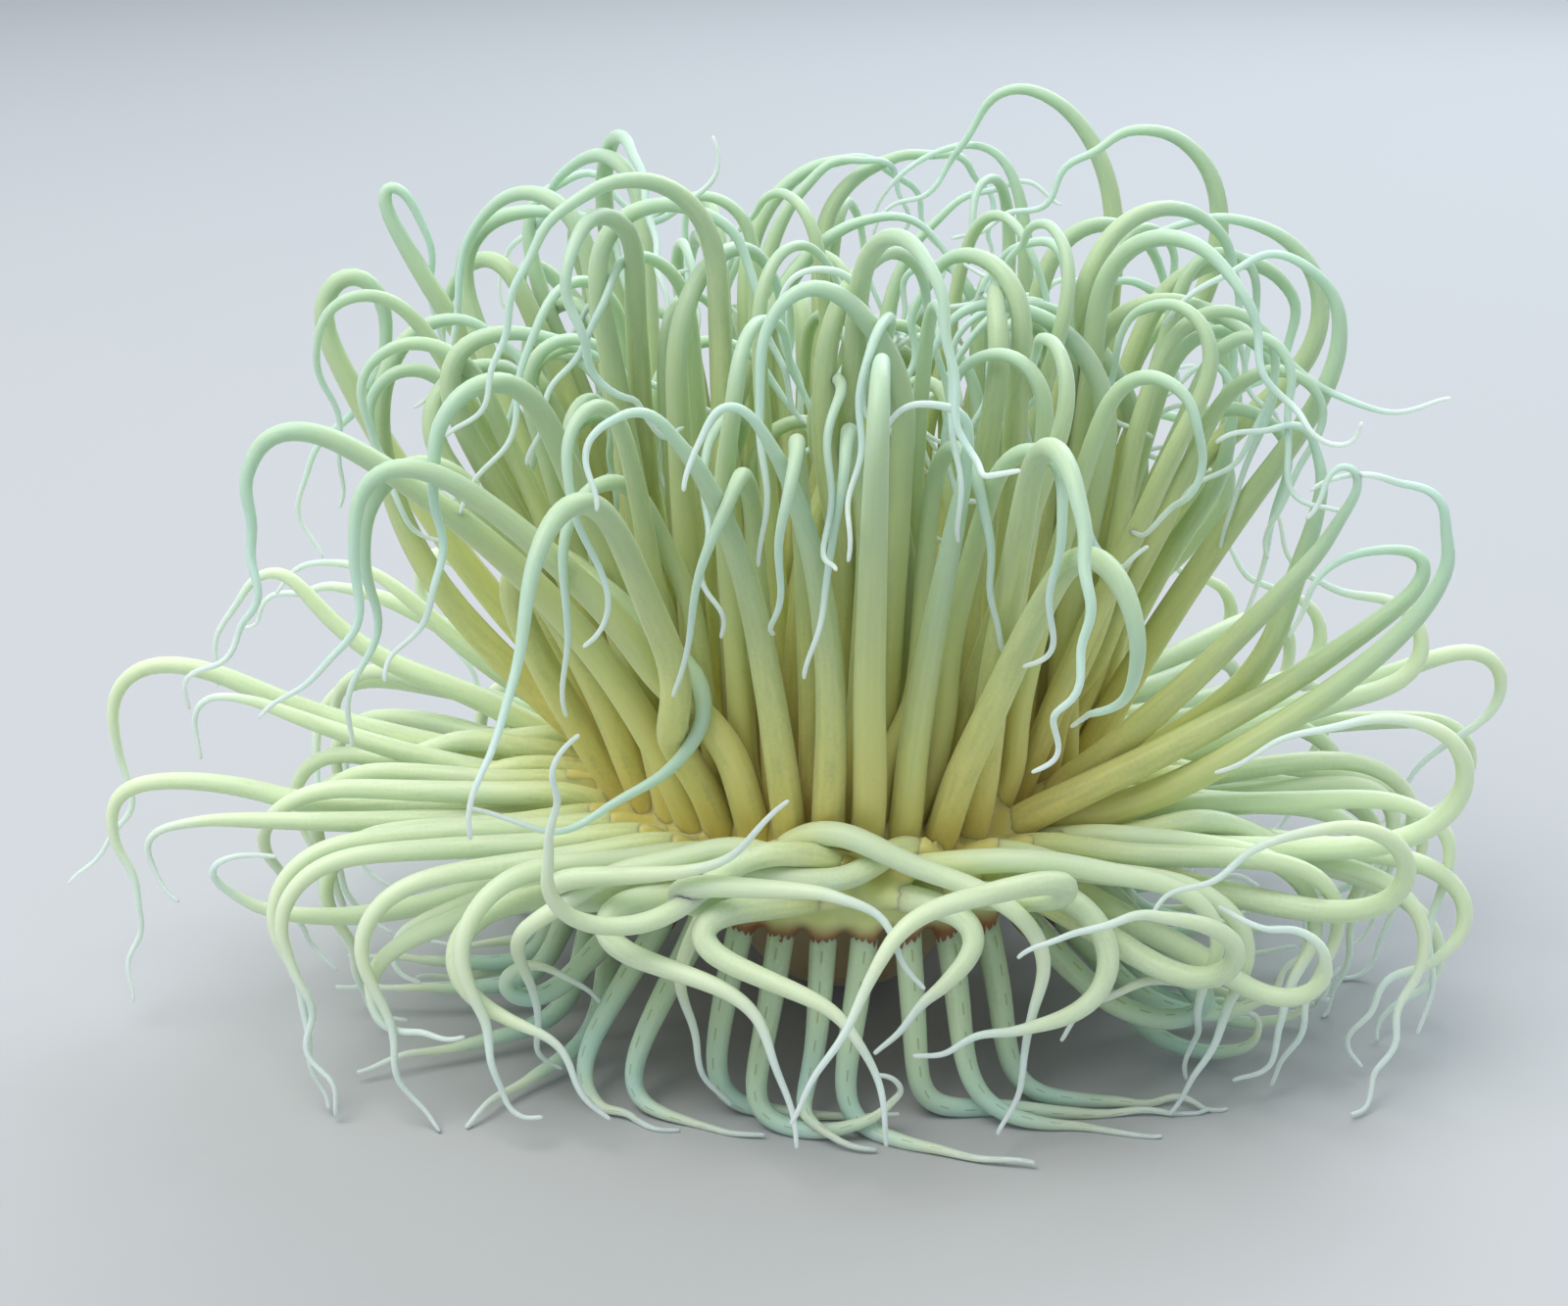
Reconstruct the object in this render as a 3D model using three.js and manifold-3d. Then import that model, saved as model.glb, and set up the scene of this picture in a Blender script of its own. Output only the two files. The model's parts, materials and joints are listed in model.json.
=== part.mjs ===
// A tube anemone: a broad oral disc on a trumpet-shaped column, with four cycles of long
// marginal tentacles. Millimetres, +Z up; the disc's axis is the Z axis before the last step,
// and the viewer's side of the animal is -Y.
import * as THREE from "three";
import { mergeVertices } from "three/addons/utils/BufferGeometryUtils.js";
import Module from "manifold-3d";

const wasm = await Module();
wasm.setup();

// ---- driving dimensions ----------------------------------------------------
const SECTORS = 14;            // combs in each cycle of tentacles
const FIRST = -90;             // azimuth at which the first comb begins, at the front
const RIM_HEIGHT = 47;         // oral disc's margin above the floor
const GAP = 0.35;              // clearance between pieces that touch
const TIP_RADIUS = 0.36;       // the finest tips
const STEP = 4;                // spacing of the points along a tentacle
const ROOT = 9;                // length over which it turns away from the rim
const FEWEST_STEPS = 6;        // of the shortest tentacle
const SIDES = 3;               // sides of a tentacle's section
const SECTION = 1.25;          // corner radius of that section, per radius
const TAPER = 1.5;             // power by which a tentacle thins towards its tip
const TAIL = { from: 0.62, to: 0.86, thinner: 0.42 };  // where the stalk ends and the thin tail begins
const FLOOR_SINK = 0.85;       // height of a lying tentacle's axis, per radius
const LYING = 1.1;             // it lies where its axis is no higher than this, per such height
const FLAT = 0.5;              // there, corners lower than this, per radius, are on the floor
const CHORD = 1.4;             // how far a facet may cut a bend's corner at the base
const CHORD_TIP = 4;           // and at the tip
const MARGIN_SIDES = SECTORS;  // sides of the oral disc and the trumpet
const ROUGHNESS = 0.5;         // moist skin

// Settling: tentacles that touch are pushed apart, round after round.
const SETTLE_ROUNDS = 70;
const CELL = 8;                // side of the cells in which neighbours are looked up
const REACH = [-2, -1, 0, 1, 2];  // cells looked at on each side, and points that share a push
const SPREAD = [0.12, 0.24, 0.28, 0.24, 0.12];  // shares of a push for those points
const SLACK = 1;               // extra room between tentacles while they settle
const STIFF_ROOT = 24;         // length over which a tentacle gives way less near its seat
const UNDER_RIM = 8;           // below the rim by this much, they keep clear of the trumpet
const SELF_CLEAR = 4;          // points of one strand nearer along it, per their room, let each other be
const SAME_POINT = 1e-6;       // points nearer than this have no direction between them
const TOUCH = 0.003;           // overlap, in cubic millimetres, that is cut away
const MERGE = 1e-4;            // corners nearer than this are one

// A cycle of tentacles: how many are on one comb, radius and height of its seats on the rim,
// base radius, shift of the seats along the rim (in seats), the way it leaves the rim (out,
// climb), and the ring that its combs are cut from (inner, outer, low, high).
const CYCLES = {
  crown: {
    per: 2, seat: 37, up: -1, base: 2.8, shift: 0.1, out: 0, climb: 1,
    ring: [33.4, 40.3, -6.4, 1.4], color: "#b9b85a",
  },
  brush: {
    per: 3, seat: 44, up: -2, base: 3.0, shift: -0.08, out: 0.3, climb: 0.95,
    ring: [40.7, 47.2, -6.4, 0.8], color: "#c3c266",
  },
  spread: {
    per: 3, seat: 50, up: -3.7, base: 2.6, shift: 0.12, out: 1, climb: 0.1,
    ring: [47.6, 52.4, -6.4, -1.0], color: "#d3d99a",
  },
  skirt: {
    per: 3, seat: 50.4, up: -9.5, base: 2.4, shift: -0.12, out: 0.4, climb: -0.9,
    ring: [47.6, 53.2, -12.8, -6.8], color: "#c9d6b4",
  },
};

// Column: trumpet under the disc, then a body that turns back and lies along the floor.
const COLUMN_RADIUS = 15.5;
const COLUMN_END_RADIUS = 8.5;
const COLUMN_TAPER = 1.6;
const COLUMN_TOP = 24;         // height of its axis where it leaves the trumpet
const COLUMN_DROP = 0.2;       // share of its length over which it comes down to the floor
const COLUMN_SINK = 0.94;      // height of its axis where it lies, per radius
const COLUMN_SIDES = 12;
const COLUMN_RINGS = 16;       // sections along the whole column
const COLUMN_BALLS = 50;       // points along it that the tentacles settle against
const COLUMN_CUTS = [0.3, 0.64];  // shares of its length where it is parted
const COLUMN_SWELL = { share: 0.05, waves: 9 };  // slow swelling along it
const COLUMN_END = { blunt: 6, least: 0.12 };    // how its end rounds off
const COLUMN_ROUTE = [[0, 2], [0, 24], [3, 50], [9, 85], [12, 120], [6, 155], [-4, 182]];

// Profiles turned round the disc's axis, as [radius, height].
const TRUMPET = [
  [0, 4], [10, 4.6], [17, 8], [21, 14], [25, 20], [31, 27], [40, 33], [46, 36.6], [47, 40.2], [0, 40.2],
];
const DISC_PROFILE = [
  [0, 40.6], [33, 40.6], [33, 47.6], [27, 46.2], [13, 44.2], [9.5, 46.4], [6, 47], [3.5, 44.4], [0, 43.4],
];

// Short tentacles round the mouth: their seats are sunk in the disc, and each leans and turns.
const LABIAL = { count: 12, seat: 15, sunk: 4, base: 1.1, length: 17, heading: 75, lean: 20, turn: 50 };

// Tentacles with a habit of their own, as a wire is bent: azimuth of the seat, lean away from
// the viewer at its base and at its tip, heading at its base (0 right, 90 up, 180 left), then
// bends of [length, turn], anticlockwise turns being positive.
const POSED = {
  brush: [
    [165, 8, 0, 140, [78, -20], [28, -6], [12, -70], [12, -120], [32, -70], [18, 50], [14, 50]],
    [150, 6, 0, 95, [50, 25], [74, 0], [8, -165], [20, -55], [22, 50]],
    [176, 2, 0, 140, [45, -10], [40, -35], [20, -40], [12, -60], [20, -80], [20, 30]],
    [230, -10, -6, 104, [60, 26], [46, 17], [8, 25], [12, 95], [20, 15], [14, -75], [14, 50]],
    [246, -14, -6, 104, [58, 24], [38, 12], [10, 25], [12, 100], [18, 15], [16, -85], [14, 50]],
    [206, -14, -20, 124, [55, -18], [14, -110], [16, -42], [22, -15], [12, -85], [20, -5],
      [18, -90], [10, 100]],
    [-107, -18, -18, 95, [54, 4], [32, 14], [18, 25], [10, 115], [14, 25]],
    [-98, -20, -16, 86, [56, 10], [32, 14], [16, 22], [6, 110], [14, 30]],
    [-82, -16, -16, 88, [54, -6], [35, 0], [6, 25], [12, 100], [8, 35]],
    [-20, -8, -4, 103, [45, -22], [30, 0], [12, 30], [14, 30], [14, 40], [16, 75], [18, 40]],
    [2, 0, 0, 68, [38, 15], [28, 5], [16, 30], [16, 20], [14, 50], [16, 80], [10, 20]],
    [45, 8, 8, 67, [103, 20], [20, 30], [16, 35], [14, 85], [14, 25], [8, -80], [16, 80]],
    [22, 3, 0, 79, [66, -8], [28, -10], [24, 40], [16, 55], [14, 60], [12, 20], [14, -40], [10, 0]],
    [12, 2, 0, 85, [54, -28], [34, -15], [16, 40], [16, 55], [20, 50], [16, 35], [8, 35], [10, -50]],
    [-9, -2, -2, 66, [80, -10], [14, 10], [16, 40], [16, 70], [14, 50], [12, 0]],
    [30, 8, 5, 49, [70, 10], [14, 35], [20, 50], [20, 35], [20, 50]],
    [-4, -4, -4, 61, [77, 8], [10, 30], [8, 90], [12, 60]],
    [-26, -6, -6, 30, [38, 10], [20, 35], [26, 5], [12, 35], [12, 80], [10, 40]],
    [-34, -10, -8, 47, [70, 5], [22, 20], [8, 150], [12, 30]],
    [16, 6, 4, 30, [66, 16], [12, 60], [12, 45], [20, 55], [14, 70]],
    [-15, -6, -2, 14, [35, 14], [38, 15], [18, 15], [16, 60], [14, 50], [16, 60]],
    [-1, 3, 3, 20, [46, 12], [48, 8], [9, 130], [14, 35], [20, 75]],
  ],
  crown: [
    [140, 8, 6, 116, [85, -8], [18, 0], [12, -45], [12, -60], [16, -95], [14, 0]],
    [128, 8, 4, 88, [66, 35], [42, 8], [5, 130], [12, 40], [8, 0], [8, -65], [18, 25]],
    [118, 12, 10, 100, [80, -12], [18, -15], [18, -30], [12, -50], [16, -90], [10, -20]],
    [105, 14, 10, 108, [90, -15], [18, -35], [22, -60], [22, -75], [20, 10]],
    [94, 12, 12, 100, [98, -10], [20, -65], [16, -30], [20, -90], [18, 15]],
    [152, 4, 2, 95, [70, -25], [22, -5], [18, -25], [14, -45], [18, -80], [12, -10]],
    [-88, -10, -10, 86, [85, 4], [14, 22], [14, 25], [12, 100], [16, 38], [20, 0], [10, -30]],
    [-78, -8, -8, 92, [100, 8], [14, 25], [6, 90], [12, 40]],
    [62, 12, 8, 64, [105, 30], [12, 20], [12, 75], [12, 30], [14, 35]],
    [78, 10, 8, 98, [82, -12], [20, -35], [18, -35], [16, -60]],
    [38, 8, 6, 88, [80, 8], [14, 15], [10, 75], [10, 80], [14, 20]],
    [20, 3, 2, 92, [74, 10], [12, 25], [8, 80], [12, 40]],
  ],
  spread: [
    [165, 5, 0, 152, [25, 0], [16, 10], [28, -35], [8, -5], [5, 95], [20, 35], [10, 30]],
    [155, 8, 4, 142, [22, 8], [30, -15], [10, 10], [12, 40], [14, 60]],
    [146, 12, 6, 150, [60, 5], [16, 30], [12, 25], [10, 40]],
    [172, 0, 0, 172, [48, -8], [26, -12], [16, 25], [18, 95], [16, 20], [14, -90], [14, 60]],
    [181, -3, 0, 172, [60, -15], [14, 0], [8, 85], [12, 55]],
    [190, -5, -4, 182, [50, -5], [10, -20], [30, 30], [8, 80], [14, 40], [14, -70], [14, 50]],
    [198, -8, -6, 180, [70, -5], [14, 15], [10, 110], [10, 35]],
    [208, -14, -10, 210, [24, -12], [25, -15], [22, -25], [10, -40], [8, -110], [10, -25]],
    [216, -16, -14, 200, [20, -5], [28, 3], [6, 120], [8, 20]],
    [224, -18, -16, 190, [45, 5], [10, 20], [8, 70], [12, 70], [12, 45]],
    [-128, -22, -14, 186, [34, -6], [12, 55], [10, 80], [14, 40], [14, -70], [10, 40]],
    [-119, -24, -14, 180, [30, 0], [6, -80], [6, -90], [26, 0], [12, 60], [12, -50]],
    [-110, -26, -16, 176, [28, -2], [6, 88], [6, 88], [22, 0], [10, -60], [22, -10]],
    [-102, -28, -16, 174, [24, 2], [5, -85], [5, -85], [28, 0], [8, -50], [16, -20]],
    [-93, -30, -16, 172, [28, 4], [5, 85], [5, 85], [24, 0], [8, -50], [20, -20]],
    [-85, -32, -18, 12, [15, -10], [7, -30], [7, -110], [16, -10], [10, 30]],
    [-76, -30, -16, 10, [30, 0], [5, 85], [5, 85], [26, 6], [10, 60], [34, -14]],
    [-68, -28, -16, 34, [18, -36], [12, -40], [12, -70], [10, -60], [16, -10], [14, 30]],
    [-59, -26, -14, -16, [34, -14], [10, 36], [12, 90], [10, 60], [16, 20], [22, 40]],
    [-50, -24, -12, -20, [44, -10], [12, 40], [12, 90], [10, 50], [18, 30]],
    [-41, -20, -12, -6, [46, 0], [14, 20], [14, 90], [14, 60], [20, 40], [24, 10]],
    [-33, -16, -10, 2, [54, 6], [14, 30], [14, 60], [14, 60], [16, 30], [26, 20]],
    [-25, -12, -8, 2, [58, -6], [12, -30], [12, -80], [12, -60], [14, 60], [12, 50]],
    [-20, -8, -4, -5, [55, -15], [12, -20], [10, -40], [12, -80], [8, 0], [8, 110]],
    [-8, -3, -2, 0, [50, 10], [8, -60], [10, -60], [20, -60], [10, -30]],
  ],
  skirt: [
    [-133, -10, -30, -125, [28, 0], [12, 35], [10, 85], [14, 0]],
    [-123, -12, -20, -121, [30, 5], [12, 40], [6, 65], [20, 0]],
    [-115, -14, -10, -108, [30, 12], [8, 50], [8, 50], [25, 5]],
    [-103, -14, -6, -100, [30, 0], [12, 35], [12, 75], [12, 30], [8, 110], [6, 60]],
    [-94, -14, -14, -94, [38, 0], [8, 60], [10, 30]],
    [-85, -14, -20, -99, [30, 0], [12, 35], [12, 65], [20, 0]],
    [-76, -14, 10, -86, [34, 0], [8, 40], [8, 42], [40, 6]],
    [-68, -14, -10, -80, [30, -6], [10, 35], [10, 45], [20, 0]],
    [-62, -12, 0, -75, [28, -10], [12, 40], [10, 45], [25, 0]],
    [-54, -10, -20, -48, [22, 4], [18, 50], [10, 75], [10, 90], [16, 30], [12, 30]],
    [-48, -8, -10, -50, [24, 5], [20, 55], [16, 55], [10, 20]],
    [-41, -8, -4, -66, [28, 2], [16, 50], [14, 40], [10, 130], [8, 80]],
    [-28, -6, 0, -44, [18, 0], [16, -20], [12, 50], [16, 60], [10, 40]],
    [228, -10, -10, 228, [22, 0], [8, -20], [8, -70], [8, -100], [10, -50], [12, -60]],
  ],
};

// ---- small maths -----------------------------------------------------------
const radians = THREE.MathUtils.degToRad;

// Repeatable scatter between -1 and 1 for the number n of a seat and the number k of a use.
function scatter(n, k) {
  const s = Math.sin(n * 12.9898 + k * 78.233) * 43758.5453;
  return 2 * (s - Math.floor(s)) - 1;
}

function interpolate(at, stops, values) {
  let i = 1;
  while (i < stops.length - 1 && stops[i] < at) i += 1;
  const t = (at - stops[i - 1]) / (stops[i] - stops[i - 1]);
  return values[i - 1] + (values[i] - values[i - 1]) * Math.min(1, Math.max(0, t));
}

// ---- habits of the tentacles that have no pose of their own ------------------
// Each returns [facing, lean at base, lean at tip, heading, ...bends], bending in the upright
// plane whose compass bearing is facing.
const HABITS = {
  crown(azimuth, n) {
    const side = scatter(n, 1) > 0.1 ? -1 : 1;
    const height = 98 + 14 * scatter(n, 2);
    return [azimuth + 50 * scatter(n, 3), 4 * scatter(n, 4), 14 * scatter(n, 5), 84 + 5 * scatter(n, 6),
      [height, -4 + 6 * scatter(n, 7)], [24 + 6 * scatter(n, 8), side * 100],
      [20, side * (60 + 40 * scatter(n, 9))], [18, side * 50 * scatter(n, 10)], [16, 120 * scatter(n, 11)]];
  },
  brush(azimuth, n) {
    const rightward = Math.cos(radians(azimuth));
    const side = scatter(n, 21) > -0.5 ? -1 : 1;
    const lean = 19 + 6 * Math.abs(rightward) + 9 * rightward + 6 * scatter(n, 22);
    return [azimuth + 12 * scatter(n, 23), 4 * scatter(n, 24), 12 * scatter(n, 25), 94 - lean,
      [88 + 14 * scatter(n, 26), -10 + 8 * scatter(n, 27)], [22 + 6 * scatter(n, 28), side * 110],
      [18, side * (50 + 40 * scatter(n, 29))], [18, side * 60 * scatter(n, 30)], [16, 130 * scatter(n, 31)]];
  },
  spread(azimuth, n) {
    const side = scatter(n, 41) > 0 ? -1 : 1;
    const reach = 52 + 18 * Math.abs(Math.cos(radians(azimuth))) + 10 * scatter(n, 42);
    return [azimuth + 8 * scatter(n, 43), 5 * scatter(n, 44), 16 * scatter(n, 45), 14 + 12 * scatter(n, 46),
      [reach, -6 + 10 * scatter(n, 47)], [18 + 6 * scatter(n, 48), side * 110], [14, side * 70],
      [14, -side * 60], [14, 120 * scatter(n, 49)]];
  },
  skirt(azimuth, n) {
    const sideways = 40 * scatter(n, 61);
    return [azimuth, 6 * scatter(n, 62), sideways, -72 + 5 * scatter(n, 63),
      [27, -2], [12, 72], [16 + 8 * scatter(n, 64), 0], [12, 10 * scatter(n, 65)]];
  },
};

// ---- centrelines -------------------------------------------------------------
// Walks along the bends from the seat, a point every STEP. It leaves the rim along root, and
// where it meets the floor it goes on along it.
function walk(start, root, radiusOf, [facing, leanBase, leanTip, heading, ...bends]) {
  const stops = [0];
  const headings = [heading];
  for (const [length, turn] of bends) {
    stops.push(stops[stops.length - 1] + length);
    headings.push(headings[headings.length - 1] + turn);
  }
  const total = stops[stops.length - 1];
  const count = Math.max(FEWEST_STEPS, Math.round(total / STEP));
  const step = total / count;
  const f = radians(facing);
  const points = [start.clone()];
  for (let i = 0; i < count; i += 1) {
    const at = (i + 0.5) * step;
    const h = radians(interpolate(at, stops, headings));
    const lean = radians(leanBase + (leanTip - leanBase) * (at / total));
    const flat = Math.cos(lean) * Math.cos(h);
    const aside = Math.sin(lean);
    const way = new THREE.Vector3(
      flat * Math.cos(f) - aside * Math.sin(f),
      flat * Math.sin(f) + aside * Math.cos(f),
      Math.cos(lean) * Math.sin(h),
    );
    way.lerp(root, Math.max(0, 1 - at / ROOT) ** 2).normalize();
    points.push(follow(points[i], points[i].clone().add(way), step, FLOOR_SINK * radiusOf(at / total)));
  }
  return { points, step };
}

// The point at the distance step from one point towards another, no lower than the floor.
function follow(from, towards, step, floor) {
  const way = towards.clone().sub(from).setLength(step);
  const drop = Math.max(-step, floor - from.z);
  if (way.z < drop) {
    const flat = Math.hypot(way.x, way.y);
    const reach = Math.sqrt(Math.max(0, step * step - drop * drop));
    way.set((way.x / flat) * reach, (way.y / flat) * reach, drop);
  }
  return way.add(from);
}

// Radius of a tentacle at the share t of its length: a slow taper, then a thin tail.
function radiusAt(base, t) {
  const waist = 1 - TAIL.thinner * THREE.MathUtils.smoothstep(t, TAIL.from, TAIL.to);
  return TIP_RADIUS + (base - TIP_RADIUS) * (1 - t ** TAPER) * waist;
}

function growStrands() {
  const strands = [];
  for (const [cycle, { per, seat, up, base, shift, out, climb }] of Object.entries(CYCLES)) {
    const seats = SECTORS * per;
    const habit = Array(seats).fill(null);
    const first = FIRST + ((0.5 + shift) * 360) / seats;
    for (const [azimuth, leanBase, leanTip, heading, ...bends] of POSED[cycle]) {
      const wanted = (azimuth - first) / (360 / seats);
      let k = Math.round(wanted);
      for (let hop = 1; habit[((k % seats) + seats) % seats]; hop += 1) {
        k = Math.round(wanted) + (hop % 2 ? (hop + 1) / 2 : -hop / 2);
      }
      habit[((k % seats) + seats) % seats] = [0, leanBase, leanTip, heading, ...bends];
    }
    for (let k = 0; k < seats; k += 1) {
      const azimuth = first + (360 * k) / seats;
      const a = radians(azimuth);
      const start = new THREE.Vector3(seat * Math.cos(a), seat * Math.sin(a), RIM_HEIGHT + up);
      const pose = habit[k] ?? HABITS[cycle](azimuth, k + 100 * base);
      const root = new THREE.Vector3(out * Math.cos(a), out * Math.sin(a), climb);
      const { points, step } = walk(start, root, (t) => radiusAt(base, t), pose);
      const radii = points.map((_, i) => radiusAt(base, i / (points.length - 1)));
      strands.push({ cycle, sector: Math.floor(k / per), points, step, radii });
    }
  }
  return strands;
}

// ---- settling ----------------------------------------------------------------
// Radius of the trumpet's outside at the height z.
function trumpetRadius(z) {
  for (let i = 1; i < TRUMPET.length - 1; i += 1) {
    const [r0, z0] = TRUMPET[i - 1];
    const [r1, z1] = TRUMPET[i];
    if (z >= z0 && z <= z1) return r0 + ((r1 - r0) * (z - z0)) / (z1 - z0);
  }
  return 0;
}

// The column's route on the floor, and its radius and its axis's height at the share t of it.
function columnPath() {
  return new THREE.CatmullRomCurve3(COLUMN_ROUTE.map(([x, y]) => new THREE.Vector3(x, y, 0)));
}

function columnRadius(t) {
  const swell = 1 + COLUMN_SWELL.share * Math.sin(COLUMN_SWELL.waves * t);
  return (COLUMN_RADIUS + (COLUMN_END_RADIUS - COLUMN_RADIUS) * t ** COLUMN_TAPER) * swell;
}

function columnHeight(t) {
  const lying = COLUMN_SINK * columnRadius(t);
  return COLUMN_TOP + (lying - COLUMN_TOP) * THREE.MathUtils.smoothstep(t, 0, COLUMN_DROP);
}

// The column as a row of fixed balls that the tentacles drape over.
function columnStrand() {
  const curve = columnPath();
  const points = curve.getSpacedPoints(COLUMN_BALLS);
  points.forEach((p, i) => p.setZ(columnHeight(i / COLUMN_BALLS)));
  const radii = points.map((_, i) => columnRadius(i / COLUMN_BALLS) + GAP);
  return { cycle: "column", points, radii, step: curve.getLength() / COLUMN_BALLS };
}

// Cell of a point, moved by a number of cells each way.
function cellOf(p, dx = 0, dy = 0, dz = 0) {
  return [Math.floor(p.x / CELL) + dx, Math.floor(p.y / CELL) + dy, Math.floor(p.z / CELL) + dz].join();
}

// The strands' points by cell, each as [strand, point].
function sortIntoCells(all) {
  const cells = new Map();
  all.forEach((strand, s) => strand.points.forEach((p, i) => {
    const cell = cellOf(p);
    if (!cells.has(cell)) cells.set(cell, []);
    cells.get(cell).push([s, i]);
  }));
  return cells;
}

function neighbours(cells, p) {
  const around = REACH.flatMap((dx) => REACH.flatMap((dy) => REACH.map((dz) => cellOf(p, dx, dy, dz))));
  return around.flatMap((cell) => cells.get(cell) ?? []);
}

// How strand s is pushed at its point i by all that is too near. The column doesn't give way.
function pushOn(all, s, i, cells) {
  const { points, radii, step } = all[s];
  const push = new THREE.Vector3();
  for (const [o, j] of neighbours(cells, points[i])) {
    const other = all[o];
    const room = radii[i] + other.radii[j];
    if (o === s && Math.abs(i - j) * step < SELF_CLEAR * room) continue;
    const away = points[i].clone().sub(other.points[j]);
    const distance = away.length();
    const reach = room + GAP + SLACK;
    if (distance >= reach || distance < SAME_POINT) continue;
    const share = other.cycle === "column" ? 1 : 0.5;
    push.addScaledVector(away, (share * (reach - distance)) / distance);
  }
  return push;
}

// Pushes strands that touch apart, a little in each round, keeping their lengths and seats.
function settle(strands) {
  const all = [...strands, columnStrand()];
  for (let round = 0; round < SETTLE_ROUNDS; round += 1) {
    const cells = sortIntoCells(all);
    const pushes = strands.map(({ points }, s) => points.map((_, i) => pushOn(all, s, i, cells)));
    strands.forEach((strand, s) => relax(strand, pushes[s]));
  }
}

// Moves one strand by its pushes, spread along it, and restores its length from the seat.
function relax(strand, push) {
  const { points, radii, step } = strand;
  const last = points.length - 1;
  const moved = points.map((p, i) => {
    const sum = new THREE.Vector3();
    REACH.forEach((k, n) => sum.addScaledVector(push[Math.min(last, Math.max(0, i + k))], SPREAD[n]));
    const ease = Math.min(1, (i * step) / STIFF_ROOT);
    return p.clone().addScaledVector(sum, ease);
  });
  for (let i = 1; i <= last; i += 1) {
    const p = moved[i];
    const way = Math.hypot(p.x, p.y);
    const clear = trumpetRadius(p.z) + radii[i] + GAP;
    const crowded = way < clear && p.z < RIM_HEIGHT - UNDER_RIM;
    if (crowded) p.set((p.x * clear) / way, (p.y * clear) / way, p.z);
    points[i] = follow(points[i - 1], p, step, FLOOR_SINK * radii[i]);
  }
}

// ---- solids --------------------------------------------------------------------
function toManifold(geometry) {
  geometry.deleteAttribute("normal");
  geometry.deleteAttribute("uv");
  const merged = mergeVertices(geometry, MERGE);
  const index = [];
  const all = merged.index.array;
  for (let i = 0; i < all.length; i += 3) {
    const [a, b, c] = [all[i], all[i + 1], all[i + 2]];
    if (a !== b && b !== c && c !== a) index.push(a, b, c);
  }
  return new wasm.Manifold(new wasm.Mesh({
    numProp: 3,
    vertProperties: new Float32Array(merged.attributes.position.array),
    triVerts: new Uint32Array(index),
  }));
}

function toMesh(name, solid, color) {
  const { vertProperties, triVerts } = solid.getMesh();
  const geometry = new THREE.BufferGeometry();
  geometry.setAttribute("position", new THREE.BufferAttribute(new Float32Array(vertProperties), 3));
  geometry.setIndex(new THREE.BufferAttribute(new Uint32Array(triVerts), 1));
  const skin = new THREE.MeshStandardMaterial({ color, roughness: ROUGHNESS, metalness: 0 });
  const mesh = new THREE.Mesh(geometry, skin);
  mesh.name = name;
  return mesh;
}

// The points of a strand that its facets need: more in the bends than in the straights.
function stations(points, low, high) {
  const chord = new THREE.Line3(points[low], points[high]);
  let far = 1;
  let split = -1;
  for (let i = low + 1; i < high; i += 1) {
    const d = chord.closestPointToPoint(points[i], true, new THREE.Vector3()).distanceTo(points[i]);
    const allowed = CHORD + ((CHORD_TIP - CHORD) * i) / (points.length - 1);
    if (d / allowed > far) [far, split] = [d / allowed, i];
  }
  if (split < 0) return [low];
  return [...stations(points, low, split), ...stations(points, split, high)];
}

// Whether a strand lies on the floor at its point i.
function liesAt(points, radii, i) {
  return i >= 0 && i < points.length && points[i].z < LYING * FLOOR_SINK * radii[i];
}

// The points where a strand's section is drawn: its stations, and both ends of what lies.
function drawnAt(points, radii) {
  const last = points.length - 1;
  const bends = [...stations(points, 0, last), last];
  const endsLying = (i) => (
    liesAt(points, radii, i) && liesAt(points, radii, i - 1) !== liesAt(points, radii, i + 1)
  );
  return [...points.keys()].filter((i) => bends.includes(i) || endsLying(i));
}

// The places along a strand where its section is drawn: its centre, two directions across it
// that turn with the curve and never twist, and the height below which a corner is on the floor.
function sections(points, radii, at) {
  const side = new THREE.Vector3(1, 0, 0);
  return at.map((i, k) => {
    const back = points[at[Math.max(0, k - 1)]];
    const ahead = points[at[Math.min(at.length - 1, k + 1)]];
    const into = points[i].clone().sub(back).normalize();
    const outOf = ahead.clone().sub(points[i]).normalize();
    const tangent = into.add(outOf).normalize();
    side.addScaledVector(tangent, -side.dot(tangent)).normalize();
    const lies = liesAt(points, radii, i);
    const low = lies ? FLAT * radii[i] : 0;
    return { centre: points[i], side: side.clone(), across: tangent.clone().cross(side), lies, low };
  });
}

// A straight tapered lathe, bent along the strand. Where it lies, a flat side is on the floor.
function tentacle({ points, radii }, grow) {
  const at = drawnAt(points, radii);
  const profile = [new THREE.Vector2(0, 0)];
  at.forEach((i, k) => profile.push(new THREE.Vector2(SECTION * (radii[i] + grow), k)));
  profile.push(new THREE.Vector2(0, at.length - 1));
  const frames = sections(points, radii, at);
  const lying = frames.find(({ lies }) => lies);
  const upright = lying ? Math.atan2(lying.side.z, -lying.across.z) : 0;
  const lathe = new THREE.LatheGeometry(profile, SIDES, upright);
  const position = lathe.attributes.position;
  for (let v = 0; v < position.count; v += 1) {
    const { centre, side, across, low } = frames[Math.round(position.getY(v))];
    const p = centre.clone();
    p.addScaledVector(side, position.getX(v)).addScaledVector(across, -position.getZ(v));
    position.setXYZ(v, p.x, p.y, p.z < low ? 0 : p.z);
  }
  return toManifold(lathe);
}

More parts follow.
